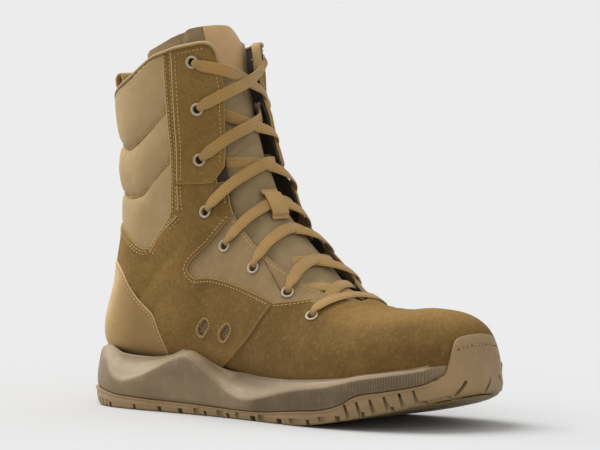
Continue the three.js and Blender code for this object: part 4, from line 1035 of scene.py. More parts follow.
def make_pad():
    base = on_side(PAD_UNDER_BASE)
    base = base[base[:, 1] < 0.4995]
    front = below_rim(on_side(PAD_UNDER_FRONT))
    half = [np.vstack([[base[-1, 0], 0.5], base[::-1]]), front[::-1]]
    rim = rim_line(front[0, 1], 0.5)
    lines = half + [np.vstack([rim, *mirrored([rim], 0.5)])] + mirrored(half, 0.5)
    tree = tree_of(np.vstack([skin(*path.T) for path in channel_paths()]))

    def out(s, t, edge, places):
        near = np.array([tree.find(point)[2] for point in places])
        side, share = np.minimum(t, 1 - t), pad_share(s, t)
        at_rim = smooth(0.9, 0.0, rim_station(side) - s)
        edge_in = np.maximum(smooth(0, 7, edge), at_rim * smooth(0, 2.2, edge))
        puff = 1 - np.exp(-(near / PAD_REACH) ** 1.2)
        pucker = wobble(places, 6, 0.35, 17) * np.exp(-near / PAD_REACH) + wobble(places, 30, 0.5, 19)
        full = PAD_PUFF * puff * (0.45 + 0.55 * edge_in) - crease(near, 0, CHANNEL_DEPTH, 1.5) + pucker
        thin = 0.9 * edge_in * puff - crease(near, 0, 1.0, 2.0) * smooth(0.16, 0.19, side)
        return 0.1 + share * full + (1 - share) * thin

    pad = panel("padded_collar", lines, PAD_CLOTH, out, 1.4, cell=1.5, border=0)
    return pad


def make_counter():
    top = on_side(COUNTER_TOP)
    top = top[top[:, 1] < 0.4995]
    top = np.vstack([[top[0, 0], 0.5], top])
    low = np.array([[9.6, 0.43], [10.4, 0.44], [11.2, 0.465], [11.75, 0.5]])
    lines = [np.vstack([*mirrored([top], 0.5), top]), low, *mirrored([low], 0.5)]
    return panel("heel_counter_leather", lines, COUNTER,
                 leather_out(COUNTER_OUT, 40, 0.3, 21), 1.2, cell=2.0, replaced=("heel_counter",))


def make_lining():
    rim, throat = rim_line(FRONT_TURN, 0.5), throat_line(6.5, THROAT_HIGH)
    notch = (throat[:, 0] > 11.4) & (throat[:, 0] < 12.6)
    throat[notch, 1] = np.minimum(throat[notch, 1], 0.101)
    low = np.array([[6.5, 0.30], [8.5, 0.36], [10.5, 0.42], [11.3, 0.46], [11.6, 0.5]])
    lines = [throat, np.vstack([rim, *mirrored([rim], 0.5)]), *mirrored([throat], 0.5),
             np.vstack([flipped(low[:-1], 0.5), low[::-1]])]

    def out(s, t, edge, places):
        near_throat = smooth(0.20, 0.16, np.minimum(t, 1 - t))
        return -2.3 + 1.5 * near_throat - PAD_INSIDE * pad_share(s, t) + wobble(places, 26, 0.4, 23)

    return panel("shaft_lining", lines, LINING, out, 0.8, cell=3.0, border=0)


def tongue_row(station):
    """At a station, the turns to the tongue's edge, and its face's depth in the middle and at the edge."""
    stations, *columns = np.transpose(TONGUE)
    return [np.interp(station, stations, column) for column in columns]


def tongue_depth(station, turn):
    half, middle, edge = tongue_row(station)
    share = np.cos(np.pi / 2 * np.minimum(np.abs(turn) / half, 1)) ** 2
    return edge + (middle - edge) * share


def tongue_place(station, turn):
    """The face of the tongue: under the last, and drawn straight back near its top."""
    station, turn = np.broadcast_arrays(np.asarray(station, float), np.asarray(turn, float))
    station, turn = station.ravel(), turn.ravel()
    straight = (smooth(12.5, 15.0, station) * smooth(0.25, 0.09, np.abs(turn)))[:, None]
    way = unit(skin_normal(station, turn, form=last) * (1 - straight) + np.array([1.0, 0, 0.25]) * straight)
    depth = tongue_depth(station, turn) + TONGUE_CURL * straight[:, 0] * smooth(0.0, -0.09, turn)
    return last(station, turn) - way * depth[:, None]


def tongue_top(turns):
    """The stations at which the tongue ends, lower on its inner half."""
    stations = np.linspace(13, TOP, 300)
    tops = [rise_over(stations, tongue_place(stations, turn), TONGUE_RIM, 0,
                      TONGUE_FALL * float(smooth(-0.005, -0.085, turn))) for turn in turns]
    return np.minimum(evened(tops, 3), TOP - 0.05)


def make_tongue():
    turns = np.linspace(-0.28, 0.28, 93)
    tops = tongue_top(turns)
    kept = np.abs(turns) < tongue_row(tops)[0] - 0.003
    turns, tops = turns[kept], tops[kept]
    near, far = (np.arange(TONGUE_FOOT, float(tops[end]), 0.1) for end in (-1, 0))
    lines = [np.stack([tops, turns], 1), np.stack([near, tongue_row(near)[0]], 1)[::-1],
             np.array([[TONGUE_FOOT, turn] for turn in (0.04, 0.0, -0.04)]),
             np.stack([far, -tongue_row(far)[0]], 1)]

    def out(s, t, edge, places):
        swell = 1.1 * smooth(0, 9, edge) + wobble(places, 24, 0.45, 29)
        for station, depth in TONGUE_FOLDS:
            swell = swell - crease(s - 3 * t * t, station, depth, 0.06)
        return swell - 1.0

    tongue = panel("tongue_cloth", lines, TONGUE_CLOTH, out, 4.0, border=0, replaced=("tongue",),
                   edge_round=1.2, form=tongue_place)
    return tongue


def make_patch():
    far, near = PATCH_SIDES
    turns = np.linspace(far, near, 36)
    tops = tongue_top(turns) - 0.03
    lines = [np.stack([tops, turns], 1),
             np.stack([np.linspace(tops[-1], PATCH_LOW, 12)[1:-1], np.full(10, near)], 1),
             np.stack([np.full(36, PATCH_LOW), turns[::-1]], 1),
             np.stack([np.linspace(PATCH_LOW, tops[0], 12)[1:-1], np.full(10, far)], 1)]

    def out(s, t, edge, places):
        return 1.5 + 0.4 * smooth(0, 5, edge) + wobble(places, 24, 0.45, 29)

    return panel("tongue_patch", lines, PATCH, out, 1.8, cell=1.2, form=tongue_place)


def make_insole():
    rows = np.linspace(1.9, 11.2, 60)
    half = 0.15 - 0.03 * smooth(8, 10.5, rows) - 0.03 * smooth(3.5, 2, rows)
    lines = [np.stack([rows, 0.5 - half], 1), np.stack([rows[::-1], 0.5 + half[::-1]], 1)]
    return panel("foot_bed", lines, LINING, leather_out(-3.1, 30, 0.1, 31), 4.0, cell=3.5,
                 replaced=("insole",), edge_round=1.0)


# Stations and turns in much the same length, so that a line of them can be cut in even steps
STRETCH = np.array([12.0, 300.0])


def add_strip(name, mesh, finish, replaced=()):
    """Adds a strip whose finish shows no cut edge."""
    set_floats(mesh, "edge", np.full(len(mesh.vertices), 9.0))
    return add_object(name, mesh, finish, replaced)


def make_binding():
    """The folded binding: down the outer throat for a little, over the rim and down the inner throat."""
    corner, rim = throat_line(15.9, 16.45), rim_line(FRONT_TURN + 0.008, 0.5)
    half = dense(np.vstack([corner[::3] * STRETCH, rim[::3] * STRETCH]), 1.2) / STRETCH
    stations, turns = np.vstack([half[:-1], *mirrored([half], 0.5)]).T
    side, share = np.minimum(turns, 1 - turns), pad_share(stations, turns)
    outer = evened(np.where(side < PAD_TURN, 2.9, 0.9 + 2.0 * share), 4)
    inner = evened(np.where(side < 0.17, -2.0, -3.3 - PAD_INSIDE * share), 4)
    normal = skin_normal(stations, turns)
    middle = skin(stations, turns) + normal * ((outer + inner) / 2)[:, None]
    up = unit(np.cross(np.gradient(middle, axis=0), normal))
    up *= np.sign(up[len(up) // 2, 2])
    sections = [oval(reach + 0.9, 2.5, 14, 3.0) for reach in outer - inner]
    add_strip("collar_binding", sweep(middle, up, sections, "collar_binding"), PIPING)
    # A dark cord along the binding's lower edge, a painted shadow of its seam
    seam = middle + normal * ((outer - inner) / 2 + 0.3)[:, None] - up * 1.3
    dark = sweep(seam[6:-6], normal[6:-6], oval(0.55, 0.55, 8, 2.0), "collar_seam_shadow")
    return add_object("collar_seam_shadow", dark, SHADOW_CORD)


# Eyelets and lace
# Section of an eyelet's ring: radius and height, the second part over the face that it sits on
BARREL = [(2.6, -3.6), (2.9, -3.6)]
FLANGE = [(2.9, -0.20), (3.2, 0.15), (4.0, 0.15), (4.25, 0.35), (4.2, 0.60), (3.9, 0.90), (3.5, 1.00),
          (3.0, 0.90), (2.7, 0.55), (2.6, 0.0)]


def eyelet_ring(number, side, word):
    station, turn = EYELETS[number][:2]
    bm = bmesh.new()
    ring = [bm.verts.new((radius, 0, height)) for radius, height in
            BARREL + [(radius, height + UNDER_EYELET[number]) for radius, height in FLANGE]]
    edges = [bm.edges.new((ring[k - 1], ring[k])) for k in range(len(ring))]
    bmesh.ops.spin(bm, geom=ring + edges, cent=(0, 0, 0), axis=(0, 0, 1), angle=2 * math.pi, steps=28,
                   use_merge=True, use_duplicate=False)
    bmesh.ops.remove_doubles(bm, verts=bm.verts, dist=0.01)
    bmesh.ops.recalc_face_normals(bm, faces=bm.faces)
    normal = Vector(skin_normal(station, side * turn)[0])
    turned = Vector((0, 0, 1)).rotation_difference(normal).to_matrix().to_4x4()
    seat = Matrix.Translation(skin(station, side * turn)[0])
    bmesh.ops.transform(bm, matrix=seat @ turned, verts=bm.verts)
    name = f"eyelet_ring_{word}_{number + 1}"
    return add_object(name, mesh_from(bm, name), EYELET_METAL, (f"eyelet_{word}_{number + 1}",))


# The lace, also where it is drawn together in an eyelet, how far off its middle it goes through one,
# and how deep it may lie over the tongue
LACE_WIDTH, LACE_THICKNESS = 7.5, 1.5
NECK_WIDTH, NECK_THICKNESS = 3.8, 2.2
IN_EYELET = 0.003
DEEPEST_LACE = 12.5
# How far from its end a lace goes through the eyelet, and how far a tucked end stays drawn together
THROUGH, TUCKED = 5.5, 1.0


def braid_section(width, thickness, ribs=6):
    """A flat lace with lengthwise ribs on both faces."""
    x, y = oval(width, thickness, 52, 2 / 0.62).T
    rib = np.cos(x / width * 2 * np.pi * ribs)
    return np.stack([x, y + np.sign(y) * 0.11 * rib * (np.abs(x) < 0.46 * width)], 1)


def lace(points, name, ends):
    """A lace through places of station, turn and height, drawn together at a distance from each end."""
    points = np.array(points, float)
    rough = lifted(*points.T)
    length = arc_length(rough)
    at = np.linspace(0, length[-1], int(length[-1] / 1.1))
    rows = spline(length, points, at)
    away = np.minimum(np.abs(at - ends[0]), np.abs(length[-1] - at - ends[1]))
    sections = [braid_section(NECK_WIDTH + (LACE_WIDTH - NECK_WIDTH) * k,
                              NECK_THICKNESS + (LACE_THICKNESS - NECK_THICKNESS) * k)
                for k in smooth(1.0, 11.0, away)]
    return sweep(spline(length, rough, at), skin_normal(rows[:, 0], rows[:, 1]), sections, name)


def flap_end(eyelet, centre, sign, low, tucked):
    """Places from under an eyelet through it to the edge of its flap, or for a tucked end under the flap."""
    station, turn, raised = EYELETS[eyelet]
    turn -= IN_EYELET
    ahead = centre - station
    at_edge = station + ahead * 0.40
    half = float(throat_turn(at_edge))
    if tucked:
        return [(station, sign * turn, -5.0), (at_edge, sign * half * 1.05, min(-4.6, 0.55 * low))]
    over = (3.5 if raised else 1.5) - (0.9 if sign < 0 and raised else 0.2)
    return [(station, sign * turn, -5.5), (station, sign * turn, -1.5),
            (station + ahead * 0.03, sign * turn * 0.985, UNDER_EYELET[eyelet] + 1.5),
            (station + ahead * 0.13, sign * (turn - 0.25 * (turn - half)), over + 0.35),
            (station + ahead * 0.28, sign * (half + 0.28 * (turn - half)), over + 0.1),
            (at_edge, sign * half * 0.97, over - (1.0 if sign < 0 else 0.2))]


def make_crossing(row):
    """Two laces from one pair of eyelets to the next. An end that another row carries on is tucked in."""
    first, final = row == 0, row == len(EYELETS) - 2
    middle = CROSSINGS[row]
    depth = min(float(tongue_row(middle)[1]), DEEPEST_LACE)
    bm = bmesh.new()
    for sign, lift in ((1, 2.3), (-1, 0.75)):
        low = lift + 1.1 - depth
        start = flap_end(row + 1, middle, sign, low, final)
        finish = flap_end(row, middle, -sign, low, not first)
        mesh = lace(start + [(middle, 0, low)] + finish[::-1], "lace",
                    (TUCKED if final else THROUGH, THROUGH if first else TUCKED))
        bm.from_mesh(mesh)
        bpy.data.meshes.remove(mesh)
    mesh = bpy.data.meshes.new(f"lace_{row + 1}")
    bm.to_mesh(mesh)
    bm.free()
    add_object(f"lace_over_{row + 1}", mesh, LACE_CLOTH, (f"lace_crossing_{row + 1}",))


def make_bar():
    station, turn = EYELETS[-1][:2]
    turn -= IN_EYELET
    half = [(station, turn, -5.5), (station, turn, -1.5), (station - 0.01, turn * 0.97, 2.1),
            (station - 0.03, turn * 0.80, 2.3), (station - 0.10, turn * 0.50, 1.9),
            (station - 0.15, turn * 0.22, 1.7)]
    points = half + [(station - 0.16, 0, 1.5)] + [(s, -t, h - 0.8 * (0 < h)) for s, t, h in reversed(half)]
    mesh = lace(points, "lace_bar_cord", (THROUGH, THROUGH))
    add_object("lace_bar_cord", mesh, LACE_CLOTH, ("lace_bar",))


def make_keeper():
    rows = dense(KEEPER, 0.02)
    out = KEEPER_LOW + rows[:, 1] * (KEEPER_RISE - KEEPER_LOW) - tongue_row(rows[:, 0])[1]
    mesh = sweep(lifted(rows[:, 0], KEEPER_TURN, out), skin_normal(rows[:, 0], KEEPER_TURN),
                 oval(KEEPER_WIDTH, KEEPER_THICKNESS, 20, 7.0), "keeper")
    return add_strip("lace_keeper_strip", mesh, KEEPER_LEATHER, ("lace_keeper",))


# The loop in the side view, from the outer face of the collar over the rim to the inner face
LOOP = [(2.4, 184.5), (1.6, 194.0), (-1.2, 203.0), (-3.2, 208.5), (-3.4, 212.0), (-1.6, 214.6), (0.8, 215.2),
        (2.2, 212.8), (3.0, 208.0), (5.4, 205.0), (9.6, 204.0), (13.0, 201.5), (14.7, 197.0), (15.0, 186.0)]
LOOP_WIDTH, LOOP_THICKNESS = 17, 1.6


def make_pull_loop():
    line = dense(LOOP, 0.8)
    points = np.insert(line, 1, 0.0, axis=1)
    run = np.gradient(points, axis=0)
    mesh = sweep(points, run[:, ::-1] * (-1, 0, 1), oval(LOOP_WIDTH, LOOP_THICKNESS, 20, 7.0),
                 "pull_loop_webbing")
    return add_object("pull_loop_webbing", mesh, WEBBING, ("pull_loop",))


# Sole
def sole_share(x):
    return (np.asarray(x, float) + HEEL_OVERHANG) / SOLE_LENGTH


def sole_x(share):
    return share * SOLE_LENGTH - HEEL_OVERHANG


def floor_rise(x):
    """How far the underside is off the floor, at the toe's curl and the bevel of the heel."""
    share = sole_share(x)
    return TOE_SPRING * np.maximum((share - FLAT[1]) / (1 - FLAT[1]), 0) ** TOE_POWER \
        + HEEL_BEVEL * np.maximum((FLAT[0] - share) / FLAT[0], 0) ** 2


def side_height(line, x):
    """Heights on the sole's side: line 0 is the underside, 1 the rubber's edge, 2 the ridge and 3 the top."""
    length = np.linspace(0, 1, 400)
    columns = (spline(SIDE[:, 0], SIDE, length)[:, 1:] * SIDE_HEIGHT).T
    heights = np.stack([floor_rise(x)] + [np.interp(sole_share(x), length, column) for column in columns])
    low = np.minimum(np.floor(line).astype(int), 2)
    column = np.arange(heights.shape[1])
    return heights[low, column] + (line - low) * (heights[low + 1, column] - heights[low, column])


def sole_columns(fine, step=1.5):
    """Places all round the sole's outline, from the heel along the outer side to the toe and back, with their
    outward ways and the place of the middle line beside each. fine is a stretch of x with its own step."""
    across = np.diff(OUTLINE[:, 1:].mean(1))
    knots = np.r_[0, np.cumsum(np.hypot(np.diff(OUTLINE[:, 0]) * SOLE_LENGTH, across))]
    at = [0.0]
    while at[-1] < knots[-1]:
        x = sole_x(float(np.interp(at[-1], knots, OUTLINE[:, 0])))
        at.append(at[-1] + (fine[2] if fine[0] < x < fine[1] else step))
    at[-1] = knots[-1]
    rows = spline(knots, OUTLINE, np.array(at))
    x = sole_x(rows[:, 0])
    outer, inner = np.stack([x, -rows[:, 1]], 1), np.stack([x, rows[:, 2]], 1)
    toe = np.linspace(outer[-1], inner[-1], TOE_STEPS + 1)[1:-1]
    toe[:, 0] += TOE_ROUND * np.sin(np.pi * np.arange(1, TOE_STEPS) / TOE_STEPS)
    heel = np.linspace(inner[0], outer[0], HEEL_STEPS + 1)[1:-1]
    loop = np.vstack([outer, toe, inner[::-1], heel])
    middle = (inner + outer) / 2
    spine = np.vstack([middle, [middle[-1]] * len(toe), middle[::-1], [(x[0], 0.0)] * len(heel)])
    run = unit(np.roll(loop, -2, 0) - np.roll(loop, 2, 0))
    return loop, np.stack([run[:, 1], -run[:, 0]], 1), spine


def last_tree(highest=9.0, rows=199, columns=160):
    """The last up to a station, closed round, for rays to hit."""
    bm, i, j = wrapped_grid(rows, columns)
    for v, place in zip(bm.verts, skin(highest * i / rows, (j % columns) / columns)):
        v.co = place
    tree = BVHTree.FromBMesh(bm)
    bm.free()
    return tree


LAST_TREE = last_tree()


def last_reach(loop, outward, heights):
    """How far the last stands out from the outline, at each place and height."""
    reach = np.full(len(loop), NOTHING_HIT)
    for k, (place, way, z) in enumerate(zip(loop, outward, heights)):
        start = Vector((*(place + RAY_FROM * way), z))
        hit = LAST_TREE.ray_cast(start, Vector((*-way, 0)), 2 * RAY_FROM)
        if hit[0] is not None:
            reach[k] = RAY_FROM - hit[3]
    even = np.median([np.roll(reach, k) for k in range(-3, 4)], axis=0)
    return (even + np.roll(even, 1)) / 2


def ring_mesh(rings, name, closed_section=False, floats=()):
    """Rings of places all round the sole, joined row by row. The end ones may lie on the middle line."""
    count = len(rings)
    bm, i, j = wrapped_grid(count if closed_section else count - 1, len(rings[0]))
    i, j = i % count, j % len(rings[0])
    for key, rows in dict(floats).items():
        layer = bm.verts.layers.float.new(key)
        for v, value in zip(bm.verts, np.array(rows)[i, j]):
            v[layer] = value
    return close_grid(bm, np.array(rings)[i, j], name, 0.002)


# Section of the midsole's side: its line, as in side_height, and how far it stands out
MIDSOLE_PROFILE = [(1.00, -0.5), (1.05, 0.5), (1.20, 1.1), (1.60, 1.5), (1.86, 1.45), (1.96, 1.1),
                   (2.03, 0.3), (2.12, -0.9), (2.24, -2.1), (2.42, -2.9), (2.70, -3.2), (2.90, -3.2),
                   (2.97, -3.4), (3.00, -3.9)]
MIDSOLE_LINES = np.r_[np.linspace(1.0, 1.12, 4), np.linspace(1.2, 1.8, 8), np.linspace(1.86, 2.2, 9),
                      np.linspace(2.3, 2.9, 6), 2.96, 3.0]
# Its inner wall, hidden under the foot: reach, line and how much lower
MIDSOLE_INSIDE = [(-7.0, 3.0, 0.6), (-11.0, 2.9, 3.0), (-11.0, 1.0, 0.0), (-4.0, 1.0, 0.0)]
# How far its top edge stands off the upper, by x
LIP_OVER = [(-4, 3.0), (8, 3.2), (26, 3.8), (58, 3.8), (66, 2.8), (100, 2.6), (110, 1.8), (300, 1.8)]
# How far the heel's side leans in, the ribs of the plate, and how much the foam draws in behind the bumper
HEEL_LEAN = 5.5
RIB_PITCH, RIB_HEIGHT = 1.5, 0.30
UNDER_BUMPER = 4.5
# Steps round the ends of the outline, and how much the toe's end is rounded
TOE_STEPS, HEEL_STEPS, TOE_ROUND = 10, 3, 1.3
# Rays towards the last start this far out, and the reach where they miss it
RAY_FROM, NOTHING_HIT = 40, -12.0


def make_midsole():
    loop, outward, _ = sole_columns(fine=(145, 286, 0.375))
    x = loop[:, 0]
    outs = spline([row[0] for row in MIDSOLE_PROFILE], [row[1:] for row in MIDSOLE_PROFILE], MIDSOLE_LINES)
    shrink = UNDER_BUMPER * (smooth(279, 286, x) + smooth(288, 293, x))
    reach = last_reach(loop, outward, side_height(2.9, x)) + from_table(LIP_OVER, x)
    ribbed = smooth(144, 158, x) * smooth(287, 280, x)
    wave = np.cos(2 * np.pi * x / RIB_PITCH)
    rings, grooves, bands = [], [], []

    def ring(out, line, drop=0.0, groove=0.0, band=0.0):
        rings.append(np.column_stack([loop + outward * (out - shrink)[:, None], side_height(line, x) - drop]))
        grooves.append(groove + 0 * x)
        bands.append(band + 0 * x)

    for line, out in zip(MIDSOLE_LINES, outs[:, 0]):
        on_plate = ribbed * float(smooth(1.05, 1.16, line) * smooth(1.97, 1.86, line))
        high = smooth(2.25, 2.8, line)
        lean = HEEL_LEAN * smooth(24, -4, x) * (0.25 + 0.75 * smooth(1.1, 2.3, line))
        # Painted light on the concave band over the wave's ridge, weaker towards the front; the groove value
        # is painted shade in the troughs between the plate's ribs
        painted_band_light = smooth(1.97, 2.12, line) * (1 - 0.45 * smooth(70, 120, x))
        ring(reach * high + (out - lean) * (1 - high) + RIB_HEIGHT * wave * on_plate, line,
             groove=(0.5 - 0.5 * wave) * on_plate, band=painted_band_light)
    for out, line, drop in MIDSOLE_INSIDE:
        ring(np.minimum(out, reach - 2.5), line, drop)
    mesh = ring_mesh(rings, "midsole_foam", closed_section=True, floats={"groove": grooves, "band": bands})
    return add_object("midsole_foam", mesh, FOAM, ("midsole",))


def make_outsole():
    loop, outward, spine = sole_columns(fine=(276, 400, 0.7))
    x = loop[:, 0]
    share = sole_share(x)
    edge = side_height(1, x)
    bumper = np.where(share > BUMPER_EDGE[0][0], np.maximum(edge, from_table(BUMPER_EDGE, share)), edge)
    top, low = evened(bumper, 2, mode="wrap"), floor_rise(x)
    toe = smooth(0.945, 0.975, share)
    on_toe = toe > 0.5
    rings = []

    def ring(out, height):
        rings.append(np.column_stack([loop + outward * np.reshape(out, (-1, 1)), height]))

    def inner_rings(shares, height, inset):
        for part in shares:
            rings.append(np.column_stack([spine + (loop + outward * inset - spine) * part, height]))

    inner_rings((0.0, 0.3, 0.6, 0.85), low, -3.5)
    rounder = 1 + 1.6 * smooth(0.86, 1.0, share)
    for out, rise in ROUNDED_FOOT:
        ring(out * rounder, low + rise * rounder)
    for part in np.linspace(0.16, 0.97, 18):
        z = low + 1.4 + part * (top - low - 1.4)
        plain = -0.4 + 0.7 * float(smooth(0.1, 0.5, part)) + 0.7 * float(smooth(0.80, 0.86, part)) * (1 - toe)
        cap = np.clip(last_reach(loop, outward, z) + BUMPER_OVER, -9, 0.6)
        blend = smooth(26, 50, z) * toe
        ring(plain * (1 - blend) + cap * blend, z)
    reach = last_reach(loop, outward, top)
    lip = np.where(on_toe, reach + BUMPER_OVER, 0.5)
    ring(lip - 0.25, top - 0.15)
    ring(lip - 0.9, top + 0.05)
    inside_lip = np.where(on_toe, reach + 0.2, -2.7)
    ring(inside_lip + 0.5, top + 0.05)
    ring(inside_lip, top - 0.3)
    mid_height = low + 6.5 + 0.5 * np.maximum(top - low - 7, 0)
    reach = last_reach(loop, outward, mid_height)
    ring(np.where(on_toe, np.minimum(reach + 0.7, -2.7), -3.0), mid_height)
    ring(np.full(len(x), -3.4), low + 6.2)
    inner_rings((0.85, 0.6, 0.3, 0.0), low + 6.0, -4.0)
    rubber = add_object("outsole_rubber", ring_mesh(rings, "outsole_rubber"), RUBBER, ("outsole",))
    bumper_groove(rings[BUMPER_RING], outward, share)
    return cut_tread(rubber)


# The outsole's rounded foot, reach and rise. How far the bumper stands over the upper, and its groove's ring
ROUNDED_FOOT = [(-3.5, 0.0), (-2.2, 0.05), (-1.1, 0.5), (-0.5, 1.4)]
BUMPER_OVER = 1.9
BUMPER_RING = 22


def bumper_groove(ring, outward, share):
    """A thin dark cord with light stitches in it, round the toe below the top of the bumper: a painted shadow
    that stands for a groove.
    """
    kept = share > BUMPER_FROM
    line, way = ring[kept], np.column_stack([outward[kept], np.zeros(kept.sum())])
    order = np.argsort(line[:, 1])
    line, way = line[order], way[order]
    line[:, 2] = evened(line[:, 2], 4)
    cord = sweep(line + way * 0.1, way, oval(0.8, 0.7, 8, 2.0), "bumper_groove_shadow_cord")
    add_object("bumper_groove_shadow_cord", cord, SHADOW_CORD)
    arc = arc_length(line)
    at = np.searchsorted(arc, np.arange(3, arc[-1] - 3, 3.4))
    stitches = Stitches("bumper_stitching")
    stitches.put(line[at] + way[at] * 0.45, unit(np.gradient(line, axis=0))[at], way[at], 2.3, 0.36)
    stitches.done()


def box(bm, centre, size, turns=(), taper=1.0):
    """A turned box, as much narrower along x at its top as the taper says."""
    matrix = Matrix.Translation(Vector(centre))
    for angle, axis in turns:
        matrix = matrix @ Matrix.Rotation(angle, 4, axis)
    made = bmesh.ops.create_cube(bm, size=1)["verts"]
    bmesh.ops.scale(bm, vec=(taper, 1, 1), verts=[v for v in made if v.co.z > 0])
    bmesh.ops.transform(bm, matrix=matrix @ Matrix.Diagonal((*size, 1)), verts=made)


def side_place(share, side):
    """On the outline at a share of the length: x, y and how much the outline turns."""
    column = 1 if side < 0 else 2
    behind, half, ahead = spline(OUTLINE[:, 0], OUTLINE, share + np.array([-0.004, 0, 0.004]))[:, column]
    return sole_x(share), side * half, math.atan(side * (ahead - behind) / (0.008 * SOLE_LENGTH))


# Pockets in the rubber's side by x with their width, slits in the toe (x, y, z, length and lean),
# slits round the heel by share of the length, and slots in the side with their width
POCKETS = [(100.6, 5.1), (121.8, 6.1), (138.0, 3.6), (161.0, 6.1), (192.0, 9.0), (216.0, 6.0)]
TOE_SLITS = [(292.0, -13.5, 26.0, 14.0, -0.72), (297.5, 9.5, 28.0, 15.0, -0.62),
             (294.0, 28.0, 27.0, 13.0, 0.65)]
HEEL_SLITS = [0.012, 0.028, 0.045, 0.062, 0.078, 0.094]
SIDE_SLOTS = [(0.806, 3.2), (0.834, 3.2), (0.8625, 3.4), (0.891, 3.4), (0.918, 3.2), (0.943, 2.6)]


def side_cuts(bm, side):
    """The slots, pockets and slits of one side."""
    for share, width in SIDE_SLOTS:
        x, y, turn = side_place(share, side)
        box(bm, (x, y + side * 3.6, float(floor_rise(x)) + 2.0), (width + 1.2, 11.0, 17.0),
            ((turn, "Z"), (-0.34, "Y"), (side * 0.10, "X")), 0.35)
    for x, width in POCKETS:
        x, y, turn = side_place(sole_share(x), side)
        box(bm, (x, y + side * 0.8, float(floor_rise(x)) + 3.0), (width, 4.6, 3.2), ((turn, "Z"),))
    for share in HEEL_SLITS:
        x, y, turn = side_place(share + 0.001, side)
        box(bm, (x, y, float(floor_rise(x)) + 3.0), (1.1, 3.4, 4.6), ((turn, "Z"), (0.12, "Y")))


def cut_tread(rubber):
    """Cuts the grooves, slots and pockets out of the rubber."""
    bm = bmesh.new()
    for share, width in TREAD:
        x = sole_x(share)
        box(bm, (x, 0, float(floor_rise(x)) + TREAD_DEPTH - 8), (width, 200, 16))
    for side in (-1, 1):
        side_cuts(bm, side)
    for x, y, z, length, lean in TOE_SLITS:
        box(bm, (x, y, z), (6.0, 2.4, length), ((lean, "X"),))
    bmesh.ops.recalc_face_normals(bm, faces=bm.faces)
    cutter = link("cutter", mesh_from(bm, "cutter"))
    cut = rubber.modifiers.new("tread", "BOOLEAN")
    cut.object = cutter
    cut.operation = "DIFFERENCE"
    cut.solver = "EXACT"
    cut.use_self = True
    bpy.context.view_layer.update()
    whole, shaped = rubber.data, rubber.evaluated_get(bpy.context.evaluated_depsgraph_get())
    rubber.data = bpy.data.meshes.new_from_object(shaped)
    rubber.modifiers.clear()
    bpy.data.meshes.remove(whole)
    bpy.data.objects.remove(cutter)
    rubber.data.set_sharp_from_angle(angle=math.radians(35))
    return rubber


# Stitches, vents and cut edges
# The strip down the quarter: its two sides, its low right side and its slanting end
STRIP_LEFT = below_rim(on_side([(68.6, 236.0), (70.5, 192.9), (71.3, 159.9), (70.6, 127.5)]))
STRIP_RIGHT = below_rim(on_side([(74.6, 234), (75.0, 229), (75.7, 193), (75.6, 160), (75.3, 147.5)]))
STRIP_LOW = on_side([(75.3, 145.5), (76.4, 129.0)])
SLANT_LEFT = on_side([(70.0, 125.5), (54.5, 105.0)])
SLANT_RIGHT = on_side([(75.6, 126.0), (61.6, 112.0), (54.4, 101.5)])


def leather_rows():
    """Rows of the leather's stitches: a line, how far beside it they go, and the face that they are on."""
    rim = rim_line(FRONT_TURN + 0.02, STRIP_RIGHT[0, 1] - 0.012)
    base = PAD_BASE_LINE[2:]
    base = np.vstack([base[base[:, 1] < 0.47], [[base[-1, 0], 0.4995]]])
    base = dense(base * STRETCH, 1.0, rounded=False) / STRETCH
    counter = on_side(COUNTER_TOP)
    counter = counter[counter[:, 1] < 0.43]
    return [
        (STRIP_LEFT, 1.5, QUARTER_OUT), (SLANT_LEFT, 1.5, QUARTER_OUT), (STRIP_RIGHT, -1.3, QUARTER_OUT),
        (SLANT_RIGHT, -1.3, QUARTER_OUT), (STRIP_RIGHT[3:], 3.3, EYESTAY_OUT), (STRIP_LOW, -1.3, QUARTER_OUT),
        (STRIP_LOW, 2.4, QUARTER_OUT), (SLANT_RIGHT, 2.4, QUARTER_OUT),
        (throat_line(12.5, 16.2)[::-1], -3.0, EYESTAY_OUT),
        (throat_line(11.0, 11.75)[::-1], -3.0, QUARTER_OUT), (rim, 4.0, EYESTAY_OUT),
        (on_side(TRIANGLE)[2:-2], -2.3, QUARTER_OUT), (throat_line(6.9, 11.9)[::-1], -2.6, FABRIC_OUT),
        (VAMP_TOP, -2.2, VAMP_OUT), (base, 2.0, QUARTER_OUT), (base, 3.8, QUARTER_OUT),
        (counter, -2.0, COUNTER_OUT),
    ]


def sew_leather():
    leather = Stitches("leather_stitching")
    rows = [(beside(line, distance), out + STITCH_OVER) for line, distance, out in leather_rows()]
    rings = [on_side(vent_ring(*vent, 0.9), step=0.4, rounded=False) for vent in VENTS]
    for side, _ in SIDES:
        for line, out in rows:
            leather.row(line, out, side)
        for ring in rings:
            leather.row(ring, QUARTER_OUT + 0.16, side, pitch=1.75, length=1.0, thread=0.5)
    leather.done()


def sew_channels():
    channels = Stitches("channel_stitching")
    for line in channel_paths():
        channels.row(line, -0.20 * pad_share(*line.T), pitch=2.6, thread=0.48)
    channels.done()


def sew_keeper():
    """Two rows across the keeper's lower end."""
    keeper = Stitches("keeper_stitching")
    turns = np.linspace(-0.014, 0.036, 24)
    for station, out in ((9.44, 2.0), (9.50, 2.4)):
        line = np.stack([np.full(len(turns), station), turns], 1)
        keeper.row(line, out - float(tongue_row(station)[1]), pitch=1.9, length=1.2)
    keeper.done()


def sew_patch():
    patch = Stitches("patch_stitching")
    turns = np.linspace(PATCH_SIDES[0] + 0.01, PATCH_SIDES[1] - 0.01, 40)
    patch.row(np.stack([np.full(len(turns), PATCH_LOW + 0.12), turns], 1), 1.9, form=tongue_place)
    patch.done()


